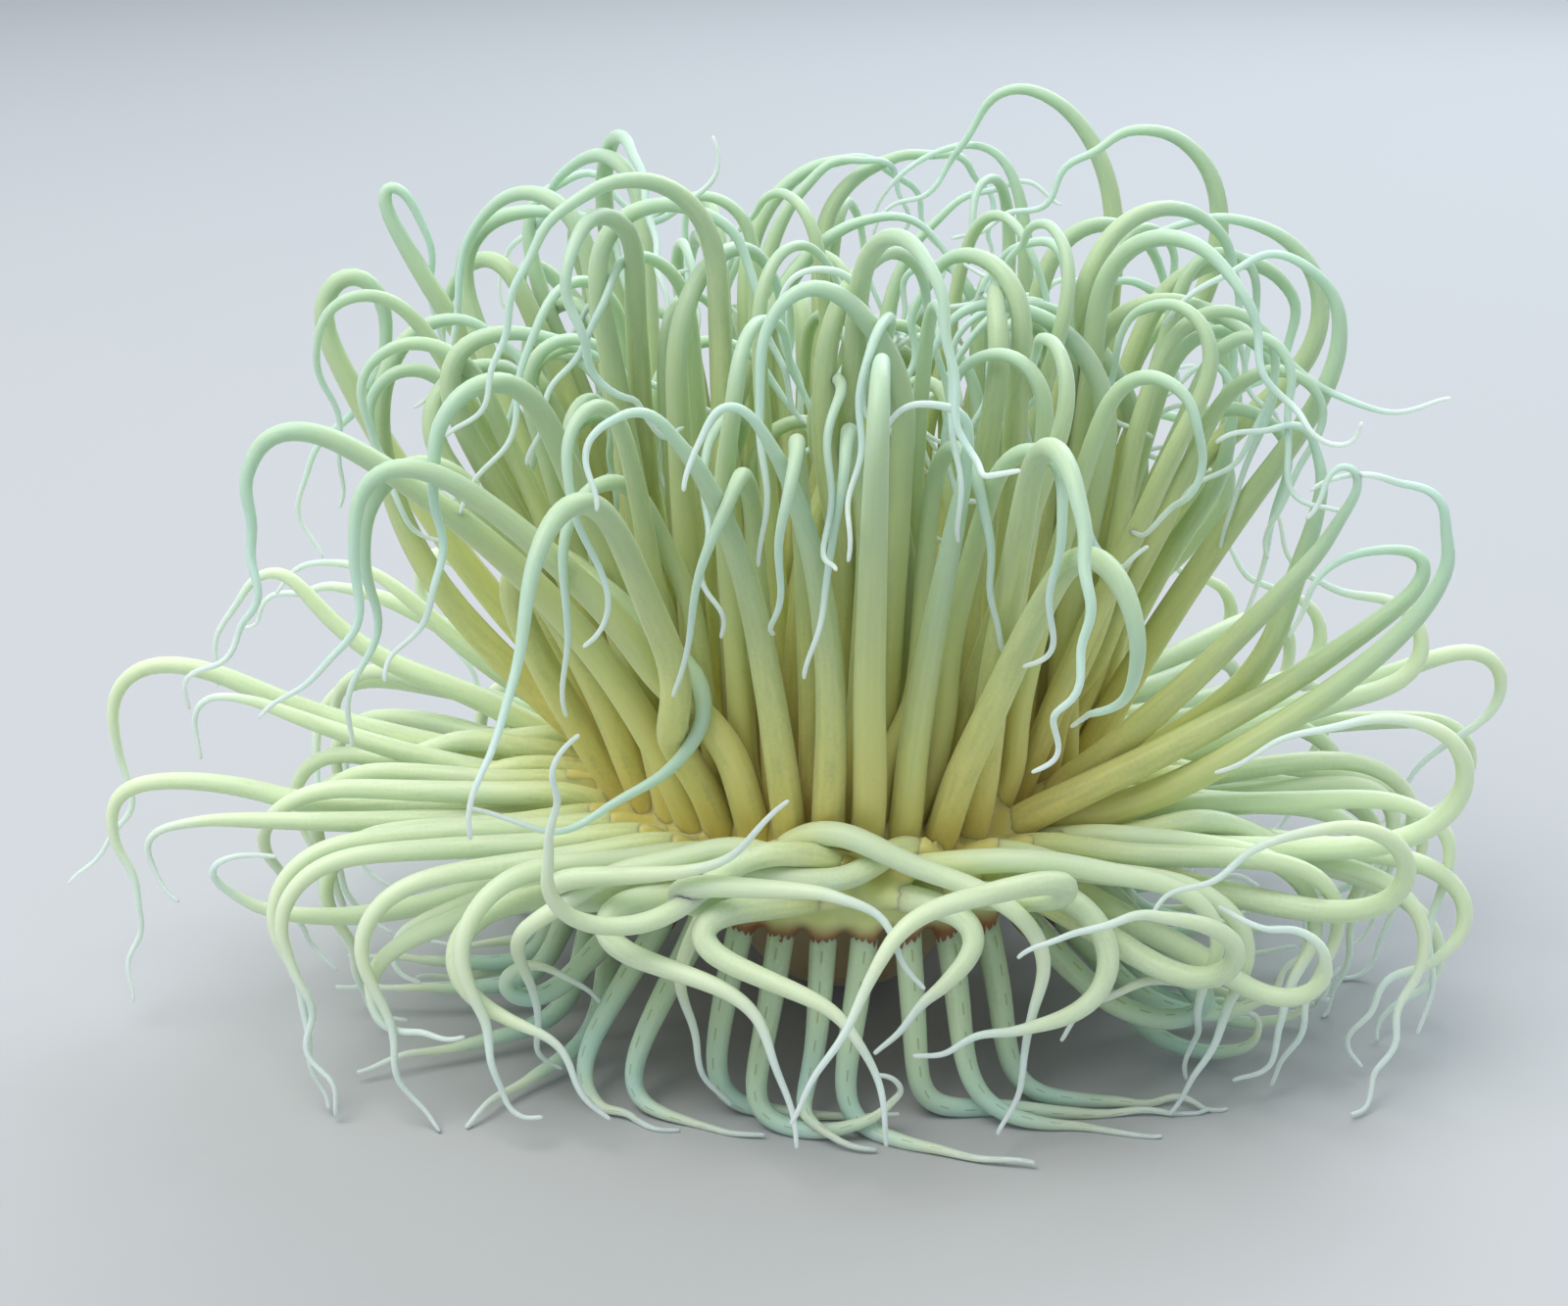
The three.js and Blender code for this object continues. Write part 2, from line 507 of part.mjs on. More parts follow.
// A block of the rim that carries the tentacles of one sector.
function rimBlock(cycle, sector) {
  const [inner, outer, low, high] = CYCLES[cycle].ring;
  const from = radians(FIRST + (sector * 360) / SECTORS);
  const to = radians(FIRST + ((sector + 1) * 360) / SECTORS);
  const shape = new THREE.Shape();
  const corner = (radius, angle) => [radius * Math.cos(angle), radius * Math.sin(angle)];
  shape.moveTo(...corner(inner, from + GAP / 2 / inner));
  shape.lineTo(...corner(outer, from + GAP / 2 / outer));
  shape.lineTo(...corner(outer, to - GAP / 2 / outer));
  shape.lineTo(...corner(inner, to - GAP / 2 / inner));
  shape.closePath();
  const block = new THREE.ExtrudeGeometry(shape, { depth: high - low, bevelEnabled: false });
  block.translate(0, 0, RIM_HEIGHT + low);
  return toManifold(block);
}

// Parts the pieces that still touch: of each two, one is cut, whichever loses no end by it.
function part(pieces) {
  for (let i = 0; i < pieces.length; i += 1) {
    for (let j = 0; j < i; j += 1) {
      const [later, earlier] = [pieces[i], pieces[j]];
      if (later.solid.intersect(earlier.solid).volume() <= TOUCH) continue;
      const a = cutFrom(later, earlier);
      const b = cutFrom(earlier, later);
      if (a.lost <= b.lost + TOUCH) later.solid = a.kept;
      else earlier.solid = b.kept;
    }
  }
}

// What is kept of one piece when another, with its clearance, is cut from it.
function cutFrom(piece, other) {
  const kept = piece.solid.subtract(other.cutter).decompose();
  kept.sort((a, b) => b.volume() - a.volume());
  return { kept: kept[0], lost: kept.slice(1).reduce((sum, p) => sum + p.volume(), 0) };
}

// A profile of [radius, height] turned round the Z axis.
function turned(profile) {
  const outline = profile.map((p) => new THREE.Vector2(...p));
  return toManifold(new THREE.LatheGeometry(outline, MARGIN_SIDES).rotateX(Math.PI / 2));
}

// The oral disc with its mouth and the short labial tentacles round it.
function oralDisc() {
  const { count, seat, sunk, base, length, heading, lean, turn } = LABIAL;
  const root = new THREE.Vector3(0, 0, 1);
  const radius = (t) => radiusAt(base, t);
  const labials = Array.from({ length: count }, (_, k) => {
    const azimuth = ((k + 0.5) * 360) / count;
    const a = radians(azimuth);
    const start = new THREE.Vector3(seat * Math.cos(a), seat * Math.sin(a), RIM_HEIGHT - sunk);
    const pose = [azimuth, 0, 0, heading + lean * scatter(k, 81), [length, turn * scatter(k, 82)]];
    const { points } = walk(start, root, radius, pose);
    return tentacle({ points, radii: points.map((p, i) => radius(i / (points.length - 1))) }, 0);
  });
  return wasm.Manifold.union([turned(DISC_PROFILE), ...labials]);
}

// One length of the column, between two shares of its route, lying on a flat underside.
function columnLength(from, to, endCap) {
  const curve = columnPath();
  const profile = [new THREE.Vector2(0, 0)];
  const rings = Math.round((to - from) * COLUMN_RINGS);
  for (let k = 0; k <= rings; k += 1) profile.push(new THREE.Vector2(1, k));
  profile.push(new THREE.Vector2(0, rings));
  const lathe = new THREE.LatheGeometry(profile, COLUMN_SIDES, Math.PI / COLUMN_SIDES);
  const position = lathe.attributes.position;
  for (let v = 0; v < position.count; v += 1) {
    const k = Math.round(position.getY(v));
    const t = from + ((to - from) * k) / rings;
    const centre = curve.getPointAt(t).setZ(columnHeight(t));
    const tangent = curve.getTangentAt(t);
    const across = new THREE.Vector3(1, 0, 0).addScaledVector(tangent, -tangent.x).normalize();
    const up = across.clone().cross(tangent);
    const round = endCap ? Math.sqrt(Math.max(COLUMN_END.least, 1 - (k / rings) ** COLUMN_END.blunt)) : 1;
    const radius = columnRadius(t) * round;
    centre.addScaledVector(across, radius * position.getX(v));
    centre.addScaledVector(up, radius * position.getZ(v));
    position.setXYZ(v, centre.x, centre.y, Math.max(0, centre.z));
  }
  return toManifold(lathe);
}

// One comb: the length of the rim that carries it, and its tentacles.
function comb(cycle, sector, strands) {
  const block = rimBlock(cycle, sector);
  const own = strands.filter((s) => s.cycle === cycle && s.sector === sector);
  return {
    name: `${cycle}_${String(sector + 1).padStart(2, "0")}`,
    color: CYCLES[cycle].color,
    solid: wasm.Manifold.union([block, ...own.map((s) => tentacle(s, 0))]),
    cutter: wasm.Manifold.union([block, ...own.map((s) => tentacle(s, GAP))]),
  };
}

const strands = growStrands();
settle(strands);

const [upperEnd, middleEnd] = COLUMN_CUTS;
const cut = GAP / columnPath().getLength();
const upper = wasm.Manifold.union([turned(TRUMPET), columnLength(0, upperEnd, false)]);
const body = [
  { name: "oral_disc", color: "#c9a64f", solid: oralDisc() },
  { name: "column_upper", color: "#b3a487", solid: upper },
  { name: "column_middle", color: "#ab9b80", solid: columnLength(upperEnd + cut, middleEnd, false) },
  { name: "column_lower", color: "#a39278", solid: columnLength(middleEnd + cut, 1, true) },
];
for (const piece of body) piece.cutter = piece.solid;
const combs = Object.keys(CYCLES).flatMap((cycle) => (
  Array.from({ length: SECTORS }, (_, sector) => comb(cycle, sector, strands))
));
const pieces = [...body, ...combs];
part(pieces);

// The origin is under the middle of the whole animal, on the floor.
const animal = new THREE.Group();
for (const { name, solid, color } of pieces) animal.add(toMesh(name, solid, color));
const box = new THREE.Box3().setFromObject(animal);
const middle = box.getCenter(new THREE.Vector3());
animal.position.set(-middle.x, -middle.y, -box.min.z);

const anemone = new THREE.Group();
anemone.add(animal);
export default anemone;
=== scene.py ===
# %% [markdown]
# # A tube anemone, life size
#
# A tube anemone is a soft tube of flesh with a flat disc on top. Long tentacles grow from the
# disc's margin in cycles: an inner crown and a brush that stand up, a spreading mat, and a
# skirt that hangs to the floor. A short second set, the labial tentacles, rings the mouth.
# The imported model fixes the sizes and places. Its solids are coarse, so this lesson gives the
# animal one smooth, round skin that follows their centrelines to within 3 mm, and the finish
# of wet, translucent flesh. All lengths here are in millimetres with the disc's axis as the Z axis, and become
# metres in the model's frame in the one function `placed`.

# %% Load the frame
import json
import math

import bpy
import numpy as np
from mathutils import Matrix, Vector

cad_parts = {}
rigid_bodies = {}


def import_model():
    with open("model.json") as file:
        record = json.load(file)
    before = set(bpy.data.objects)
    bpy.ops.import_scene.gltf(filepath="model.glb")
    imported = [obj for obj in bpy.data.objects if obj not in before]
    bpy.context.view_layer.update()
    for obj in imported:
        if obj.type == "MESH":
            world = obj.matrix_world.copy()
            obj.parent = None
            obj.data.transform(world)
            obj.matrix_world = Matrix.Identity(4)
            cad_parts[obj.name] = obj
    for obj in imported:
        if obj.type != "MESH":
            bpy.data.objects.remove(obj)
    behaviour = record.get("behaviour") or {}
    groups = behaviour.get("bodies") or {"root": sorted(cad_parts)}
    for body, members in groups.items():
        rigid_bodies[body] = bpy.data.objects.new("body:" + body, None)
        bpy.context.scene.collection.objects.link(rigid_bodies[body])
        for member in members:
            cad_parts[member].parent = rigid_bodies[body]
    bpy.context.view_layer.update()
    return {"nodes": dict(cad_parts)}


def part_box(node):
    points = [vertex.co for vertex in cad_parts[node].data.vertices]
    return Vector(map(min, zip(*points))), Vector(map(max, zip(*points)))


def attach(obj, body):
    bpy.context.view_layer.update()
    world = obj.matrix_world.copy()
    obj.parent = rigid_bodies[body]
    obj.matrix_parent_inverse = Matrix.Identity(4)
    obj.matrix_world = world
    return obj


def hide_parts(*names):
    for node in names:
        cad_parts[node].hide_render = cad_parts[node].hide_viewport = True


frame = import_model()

MM = 0.001
disc_low, disc_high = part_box("oral_disc")
AXIS = np.array([(disc_low.x + disc_high.x) / 2, (disc_low.y + disc_high.y) / 2, 0]) / MM


def placed(points):
    """Points in millimetres about the disc's axis, as metres in the model's frame."""
    return (np.asarray(points, float) + AXIS) * MM


bpy.ops.object.select_all(action="DESELECT")
print("nodes:", len(frame["nodes"]), "disc's axis at", AXIS.round(2), "mm")

# %% [markdown]
# ## Camera, floor and light
#
# The camera stands half a metre in front of the animal and looks down on it by nineteen
# degrees, with the disc a little right of the middle. A camera matrix could be typed in, but
# it is clearer to build it from the view direction and from where the disc should appear.
# The floor is plain and pale. Two broad lights, one in front and one behind, and a pale world
# give soft shade between the stalks without hard highlights, as diffuse daylight does.

# %% Camera
IMAGE_WIDTH = 1600
IMAGE_HEIGHT = 1333
LENS = 60
SENSOR = 36
VIEW_DISTANCE = 520
VIEW_DROP = math.radians(19)
RIM_HEIGHT = 47
DISC_AT = (862, 785)     # where the disc's centre appears in the image

focal = LENS / SENSOR * IMAGE_WIDTH
forward = Vector((0, math.cos(VIEW_DROP), -math.sin(VIEW_DROP)))
right = Vector((1, 0, 0))
up = right.cross(forward)
aside = (DISC_AT[0] - IMAGE_WIDTH / 2) / focal * VIEW_DISTANCE
above = (IMAGE_HEIGHT / 2 - DISC_AT[1]) / focal * VIEW_DISTANCE
eye = Vector((0, 0, RIM_HEIGHT)) - VIEW_DISTANCE * forward - aside * right - above * up

bpy.ops.object.camera_add()
camera = bpy.context.object
camera.data.lens = LENS
camera.data.sensor_width = SENSOR
camera.data.clip_start = 0.01
camera.data.clip_end = 50
turn = Matrix((right, up, -forward)).transposed()
camera.matrix_world = Matrix.Translation(Vector(placed(eye))) @ turn.to_4x4()
bpy.context.scene.camera = camera
print("camera at", [round(c, 3) for c in camera.matrix_world.translation])

# %% Floor and lights
FLOOR_COLOUR = (0.46, 0.47, 0.49, 1)
WORLD_COLOUR = (0.84, 0.91, 1.0, 1)
WORLD_STRENGTH = 0.6
LIGHTS = [                # name, place in metres, size in metres, watts, colour
    ("key_light", (-0.8, -0.7, 2.2), 1.6, 46, (1.0, 0.97, 0.90)),
    ("back_light", (0.9, 1.7, 1.8), 1.6, 40, (0.86, 0.95, 1.0)),
]
bpy.context.scene.view_settings.view_transform = "Standard"

bpy.ops.mesh.primitive_plane_add(size=14)
floor = bpy.context.object
floor.name = "floor"
floor_finish = bpy.data.materials.new("floor_finish")
floor_finish.use_nodes = True
floor_shader = floor_finish.node_tree.nodes["Principled BSDF"]
floor_shader.inputs["Base Color"].default_value = FLOOR_COLOUR
floor_shader.inputs["Roughness"].default_value = 0.9
floor.data.materials.append(floor_finish)

for name, place, size, watts, colour in LIGHTS:
    bpy.ops.object.light_add(type="AREA", location=place)
    light = bpy.context.object
    light.name = name
    light.data.size = size
    light.data.energy = watts
    light.data.color = colour
    light.rotation_mode = "QUATERNION"
    light.rotation_quaternion = (-Vector(place)).to_track_quat("-Z", "Y")

world = bpy.data.worlds.new("studio")
bpy.context.scene.world = world
world.use_nodes = True
world.node_tree.nodes["Background"].inputs["Color"].default_value = WORLD_COLOUR
world.node_tree.nodes["Background"].inputs["Strength"].default_value = WORLD_STRENGTH
print("floor, world and", len(LIGHTS), "lights")

# %% [markdown]
# ## How the tentacles bend
#
# A tentacle is described as a wire is bent: where its seat is, which way it leaves, and then
# a list of lengths and turns. The ones that show best have a pose of their own, and the rest
# follow the habit of their cycle with a repeatable scatter. These are the same descriptions
# that the solids were made from. The skin smooths and waves them, so it is near the solids. The path never goes below
# the floor: where it would, it lies down and goes on along it.

# %% Sizes of the animal
SECTORS = 14             # combs in each cycle of the solids
FIRST = -90              # azimuth at which the first comb begins
GAP = 0.35
TIP_RADIUS = 0.36
STEP = 4                 # spacing of the points along a tentacle
ROOT = 9                 # length over which it turns away from the margin
FEWEST_STEPS = 6
TAPER = 1.5              # power by which a tentacle thins towards its tip
TAIL = {"from": 0.62, "to": 0.86, "thinner": 0.42}   # the stalk ends and the thin tail begins
FLOOR_SINK = 0.85        # height of a lying tentacle's axis, per radius

CYCLES = {
    "crown": {"per": 2, "seat": 37, "up": -1, "base": 2.8, "shift": 0.1, "out": 0, "climb": 1},
    "brush": {"per": 3, "seat": 44, "up": -2, "base": 3.0, "shift": -0.08, "out": 0.3, "climb": 0.95},
    "spread": {"per": 3, "seat": 50, "up": -3.7, "base": 2.6, "shift": 0.12, "out": 1, "climb": 0.1},
    "skirt": {"per": 3, "seat": 50.4, "up": -9.5, "base": 2.4, "shift": -0.12, "out": 0.4, "climb": -0.9},
}

# %% Poses of the tentacles that show best
# Azimuth of the seat, lean away from the viewer at its base and at its tip, heading at its
# base (0 right, 90 up, 180 left), then bends of [length, turn].
POSED = {
    "brush": [
        [165, 8, 0, 140, [78, -20], [28, -6], [12, -70], [12, -120], [32, -70], [18, 50], [14, 50]],
        [150, 6, 0, 95, [50, 25], [74, 0], [8, -165], [20, -55], [22, 50]],
        [176, 2, 0, 140, [45, -10], [40, -35], [20, -40], [12, -60], [20, -80], [20, 30]],
        [230, -10, -6, 104, [60, 26], [46, 17], [8, 25], [12, 95], [20, 15], [14, -75], [14, 50]],
        [246, -14, -6, 104, [58, 24], [38, 12], [10, 25], [12, 100], [18, 15], [16, -85], [14, 50]],
        [206, -14, -20, 124, [55, -18], [14, -110], [16, -42], [22, -15], [12, -85], [20, -5],
            [18, -90], [10, 100]],
        [-107, -18, -18, 95, [54, 4], [32, 14], [18, 25], [10, 115], [14, 25]],
        [-98, -20, -16, 86, [56, 10], [32, 14], [16, 22], [6, 110], [14, 30]],
        [-82, -16, -16, 88, [54, -6], [35, 0], [6, 25], [12, 100], [8, 35]],
        [-20, -8, -4, 103, [45, -22], [30, 0], [12, 30], [14, 30], [14, 40], [16, 75], [18, 40]],
        [2, 0, 0, 68, [38, 15], [28, 5], [16, 30], [16, 20], [14, 50], [16, 80], [10, 20]],
        [45, 8, 8, 67, [103, 20], [20, 30], [16, 35], [14, 85], [14, 25], [8, -80], [16, 80]],
        [22, 3, 0, 79, [66, -8], [28, -10], [24, 40], [16, 55], [14, 60], [12, 20], [14, -40], [10, 0]],
        [12, 2, 0, 85, [54, -28], [34, -15], [16, 40], [16, 55], [20, 50], [16, 35], [8, 35], [10, -50]],
        [-9, -2, -2, 66, [80, -10], [14, 10], [16, 40], [16, 70], [14, 50], [12, 0]],
        [30, 8, 5, 49, [70, 10], [14, 35], [20, 50], [20, 35], [20, 50]],
        [-4, -4, -4, 61, [77, 8], [10, 30], [8, 90], [12, 60]],
        [-26, -6, -6, 30, [38, 10], [20, 35], [26, 5], [12, 35], [12, 80], [10, 40]],
        [-34, -10, -8, 47, [70, 5], [22, 20], [8, 150], [12, 30]],
        [16, 6, 4, 30, [66, 16], [12, 60], [12, 45], [20, 55], [14, 70]],
        [-15, -6, -2, 14, [35, 14], [38, 15], [18, 15], [16, 60], [14, 50], [16, 60]],
        [-1, 3, 3, 20, [46, 12], [48, 8], [9, 130], [14, 35], [20, 75]],
    ],
    "crown": [
        [140, 8, 6, 116, [85, -8], [18, 0], [12, -45], [12, -60], [16, -95], [14, 0]],
        [128, 8, 4, 88, [66, 35], [42, 8], [5, 130], [12, 40], [8, 0], [8, -65], [18, 25]],
        [118, 12, 10, 100, [80, -12], [18, -15], [18, -30], [12, -50], [16, -90], [10, -20]],
        [105, 14, 10, 108, [90, -15], [18, -35], [22, -60], [22, -75], [20, 10]],
        [94, 12, 12, 100, [98, -10], [20, -65], [16, -30], [20, -90], [18, 15]],
        [152, 4, 2, 95, [70, -25], [22, -5], [18, -25], [14, -45], [18, -80], [12, -10]],
        [-88, -10, -10, 86, [85, 4], [14, 22], [14, 25], [12, 100], [16, 38], [20, 0], [10, -30]],
        [-78, -8, -8, 92, [100, 8], [14, 25], [6, 90], [12, 40]],
        [62, 12, 8, 64, [105, 30], [12, 20], [12, 75], [12, 30], [14, 35]],
        [78, 10, 8, 98, [82, -12], [20, -35], [18, -35], [16, -60]],
        [38, 8, 6, 88, [80, 8], [14, 15], [10, 75], [10, 80], [14, 20]],
        [20, 3, 2, 92, [74, 10], [12, 25], [8, 80], [12, 40]],
    ],
    "spread": [
        [165, 5, 0, 152, [25, 0], [16, 10], [28, -35], [8, -5], [5, 95], [20, 35], [10, 30]],
        [155, 8, 4, 142, [22, 8], [30, -15], [10, 10], [12, 40], [14, 60]],
        [146, 12, 6, 150, [60, 5], [16, 30], [12, 25], [10, 40]],
        [172, 0, 0, 172, [48, -8], [26, -12], [16, 25], [18, 95], [16, 20], [14, -90], [14, 60]],
        [181, -3, 0, 172, [60, -15], [14, 0], [8, 85], [12, 55]],
        [190, -5, -4, 182, [50, -5], [10, -20], [30, 30], [8, 80], [14, 40], [14, -70], [14, 50]],
        [198, -8, -6, 180, [70, -5], [14, 15], [10, 110], [10, 35]],
        [208, -14, -10, 210, [24, -12], [25, -15], [22, -25], [10, -40], [8, -110], [10, -25]],
        [216, -16, -14, 200, [20, -5], [28, 3], [6, 120], [8, 20]],
        [224, -18, -16, 190, [45, 5], [10, 20], [8, 70], [12, 70], [12, 45]],
        [-128, -22, -14, 186, [34, -6], [12, 55], [10, 80], [14, 40], [14, -70], [10, 40]],
        [-119, -24, -14, 180, [30, 0], [6, -80], [6, -90], [26, 0], [12, 60], [12, -50]],
        [-110, -26, -16, 176, [28, -2], [6, 88], [6, 88], [22, 0], [10, -60], [22, -10]],
        [-102, -28, -16, 174, [24, 2], [5, -85], [5, -85], [28, 0], [8, -50], [16, -20]],
        [-93, -30, -16, 172, [28, 4], [5, 85], [5, 85], [24, 0], [8, -50], [20, -20]],
        [-85, -32, -18, 12, [15, -10], [7, -30], [7, -110], [16, -10], [10, 30]],
        [-76, -30, -16, 10, [30, 0], [5, 85], [5, 85], [26, 6], [10, 60], [34, -14]],
        [-68, -28, -16, 34, [18, -36], [12, -40], [12, -70], [10, -60], [16, -10], [14, 30]],
        [-59, -26, -14, -16, [34, -14], [10, 36], [12, 90], [10, 60], [16, 20], [22, 40]],
        [-50, -24, -12, -20, [44, -10], [12, 40], [12, 90], [10, 50], [18, 30]],
        [-41, -20, -12, -6, [46, 0], [14, 20], [14, 90], [14, 60], [20, 40], [24, 10]],
        [-33, -16, -10, 2, [54, 6], [14, 30], [14, 60], [14, 60], [16, 30], [26, 20]],
        [-25, -12, -8, 2, [58, -6], [12, -30], [12, -80], [12, -60], [14, 60], [12, 50]],
        [-20, -8, -4, -5, [55, -15], [12, -20], [10, -40], [12, -80], [8, 0], [8, 110]],
        [-8, -3, -2, 0, [50, 10], [8, -60], [10, -60], [20, -60], [10, -30]],
    ],
    "skirt": [
        [-133, -10, -30, -125, [28, 0], [12, 35], [10, 85], [14, 0]],
        [-123, -12, -20, -121, [30, 5], [12, 40], [6, 65], [20, 0]],
        [-115, -14, -10, -108, [30, 12], [8, 50], [8, 50], [25, 5]],
        [-103, -14, -6, -100, [30, 0], [12, 35], [12, 75], [12, 30], [8, 110], [6, 60]],
        [-94, -14, -14, -94, [38, 0], [8, 60], [10, 30]],
        [-85, -14, -20, -99, [30, 0], [12, 35], [12, 65], [20, 0]],
        [-76, -14, 10, -86, [34, 0], [8, 40], [8, 42], [40, 6]],
        [-68, -14, -10, -80, [30, -6], [10, 35], [10, 45], [20, 0]],
        [-62, -12, 0, -75, [28, -10], [12, 40], [10, 45], [25, 0]],
        [-54, -10, -20, -48, [22, 4], [18, 50], [10, 75], [10, 90], [16, 30], [12, 30]],
        [-48, -8, -10, -50, [24, 5], [20, 55], [16, 55], [10, 20]],
        [-41, -8, -4, -66, [28, 2], [16, 50], [14, 40], [10, 130], [8, 80]],
        [-28, -6, 0, -44, [18, 0], [16, -20], [12, 50], [16, 60], [10, 40]],
        [228, -10, -10, 228, [22, 0], [8, -20], [8, -70], [8, -100], [10, -50], [12, -60]],
    ],
}
print("posed tentacles:", {cycle: len(rows) for cycle, rows in POSED.items()})

# %% Repeatable scatter
def scatter(n, k):
    """A number between -1 and 1 for the number n of a seat and the number k of a use."""
    s = math.sin(n * 12.9898 + k * 78.233) * 43758.5453
    return 2 * (s - math.floor(s)) - 1


print("scatter:", [round(scatter(n, 1), 3) for n in range(4)])


# %% Habits of the other tentacles
# Each returns [facing, lean at base, lean at tip, heading, ...bends], bending in the upright
# plane whose compass bearing is facing.
def crown_habit(azimuth, n):
    side = -1 if scatter(n, 1) > 0.1 else 1
    height = 98 + 14 * scatter(n, 2)
    return [azimuth + 50 * scatter(n, 3), 4 * scatter(n, 4), 14 * scatter(n, 5), 84 + 5 * scatter(n, 6),
            [height, -4 + 6 * scatter(n, 7)], [24 + 6 * scatter(n, 8), side * 100],
            [20, side * (60 + 40 * scatter(n, 9))], [18, side * 50 * scatter(n, 10)],
            [16, 120 * scatter(n, 11)]]


def brush_habit(azimuth, n):
    rightward = math.cos(math.radians(azimuth))
    side = -1 if scatter(n, 21) > -0.5 else 1
    lean = 19 + 6 * abs(rightward) + 9 * rightward + 6 * scatter(n, 22)
    return [azimuth + 12 * scatter(n, 23), 4 * scatter(n, 24), 12 * scatter(n, 25), 94 - lean,
            [88 + 14 * scatter(n, 26), -10 + 8 * scatter(n, 27)], [22 + 6 * scatter(n, 28), side * 110],
            [18, side * (50 + 40 * scatter(n, 29))], [18, side * 60 * scatter(n, 30)],
            [16, 130 * scatter(n, 31)]]


def spread_habit(azimuth, n):
    side = -1 if scatter(n, 41) > 0 else 1
    reach = 52 + 18 * abs(math.cos(math.radians(azimuth))) + 10 * scatter(n, 42)
    return [azimuth + 8 * scatter(n, 43), 5 * scatter(n, 44), 16 * scatter(n, 45), 14 + 12 * scatter(n, 46),
            [reach, -6 + 10 * scatter(n, 47)], [18 + 6 * scatter(n, 48), side * 110], [14, side * 70],
            [14, -side * 60], [14, 120 * scatter(n, 49)]]


def skirt_habit(azimuth, n):
    sideways = 40 * scatter(n, 61)
    return [azimuth, 6 * scatter(n, 62), sideways, -72 + 5 * scatter(n, 63),
            [27, -2], [12, 72], [16 + 8 * scatter(n, 64), 0], [12, 10 * scatter(n, 65)]]


HABITS = {"crown": crown_habit, "brush": brush_habit, "spread": spread_habit, "skirt": skirt_habit}
print("habits:", list(HABITS))


# %% Walk along the bends
def radius_at(base, t):
    """Radius of a tentacle at the share t of its length: a slow taper, then a thin tail."""
    ease = np.clip((t - TAIL["from"]) / (TAIL["to"] - TAIL["from"]), 0, 1)
    waist = 1 - TAIL["thinner"] * ease * ease * (3 - 2 * ease)
    return TIP_RADIUS + (base - TIP_RADIUS) * (1 - t ** TAPER) * waist


def follow(start, towards, step, lowest):
    """The points at the distance step from start towards others, no lower than lowest."""
    way = towards - start
    way = way * (step / np.linalg.norm(way, axis=-1))[..., None]
    drop = np.maximum(-step, lowest - start[..., 2])
    flat = np.maximum(np.hypot(way[..., 0], way[..., 1]), 1e-9)
    reach = np.sqrt(np.maximum(0, step * step - drop * drop))
    lying = np.stack([way[..., 0] / flat * reach, way[..., 1] / flat * reach, drop], axis=-1)
    return start + np.where((way[..., 2] < drop)[..., None], lying, way)


def walk(seat, root, base, pose):
    """The centreline of a tentacle: a point every STEP from the seat, and the exact step."""
    facing, lean_base, lean_tip, heading, *bends = pose
    stops = np.concatenate([[0], np.cumsum([length for length, _ in bends])])
    headings = heading + np.concatenate([[0], np.cumsum([turned for _, turned in bends])])
    total = stops[-1]
    count = max(FEWEST_STEPS, math.floor(total / STEP + 0.5))
    step = total / count
    at = (np.arange(count) + 0.5) * step
    h = np.radians(np.interp(at, stops, headings))
    lean = np.radians(lean_base + (lean_tip - lean_base) * at / total)
    f = math.radians(facing)
    flat = np.cos(lean) * np.cos(h)
    over = np.sin(lean)
    ways = np.stack([flat * math.cos(f) - over * math.sin(f), flat * math.sin(f) + over * math.cos(f),
                     np.cos(lean) * np.sin(h)], axis=1)
    rooted = (np.maximum(0, 1 - at / ROOT) ** 2)[:, None]
    ways = ways + (np.asarray(root, float) - ways) * rooted
    ways = ways / np.linalg.norm(ways, axis=1)[:, None]
    points = [np.asarray(seat, float)]
    for way, t in zip(ways, at / total):
        points.append(follow(points[-1], points[-1] + way, np.float64(step), FLOOR_SINK * radius_at(base, t)))
    return np.array(points), step


straight, straight_step = walk((0, 0, 10), (0, 0, 1), 2, [0, 0, 0, 90, [40, 0]])
print("a straight one reaches", straight[-1].round(2), "in steps of", straight_step)


# %% Grow the strands of a set of cycles
def seats_taken(rows, seats, first):
    """The pose of each seat that has one: each row takes the free seat nearest to its azimuth."""
    taken = {}
    for azimuth, *pose in rows:
        wanted = math.floor((azimuth - first) / (360 / seats) + 0.5)
        k = wanted
        hop = 0
        while k % seats in taken:
            hop += 1
            k = wanted + ((hop + 1) // 2 if hop % 2 else -hop // 2)
        taken[k % seats] = [0, *pose]
    return taken


def grow(cycles, habits, posed):
    strands = []
    for cycle, c in cycles.items():
        seats = SECTORS * c["per"]
        first = FIRST + (0.5 + c["shift"]) * 360 / seats
        taken = seats_taken(posed.get(cycle, []), seats, first)
        for k in range(seats):
            azimuth = first + 360 * k / seats
            a = math.radians(azimuth)
            seat = (c["seat"] * math.cos(a), c["seat"] * math.sin(a), RIM_HEIGHT + c["up"])
            root = (c["out"] * math.cos(a), c["out"] * math.sin(a), c["climb"])
            pose = taken.get(k) or habits[cycle](azimuth, k + 100 * c["base"])
            points, step = walk(seat, root, c["base"], pose)
            radii = radius_at(c["base"], np.linspace(0, 1, len(points)))
            strands.append({"cycle": cycle, "n": k, "points": points, "step": step, "radii": radii})
    return strands


strands = grow(CYCLES, HABITS, POSED)
print("strands:", len(strands), "points:", sum(len(s["points"]) for s in strands))

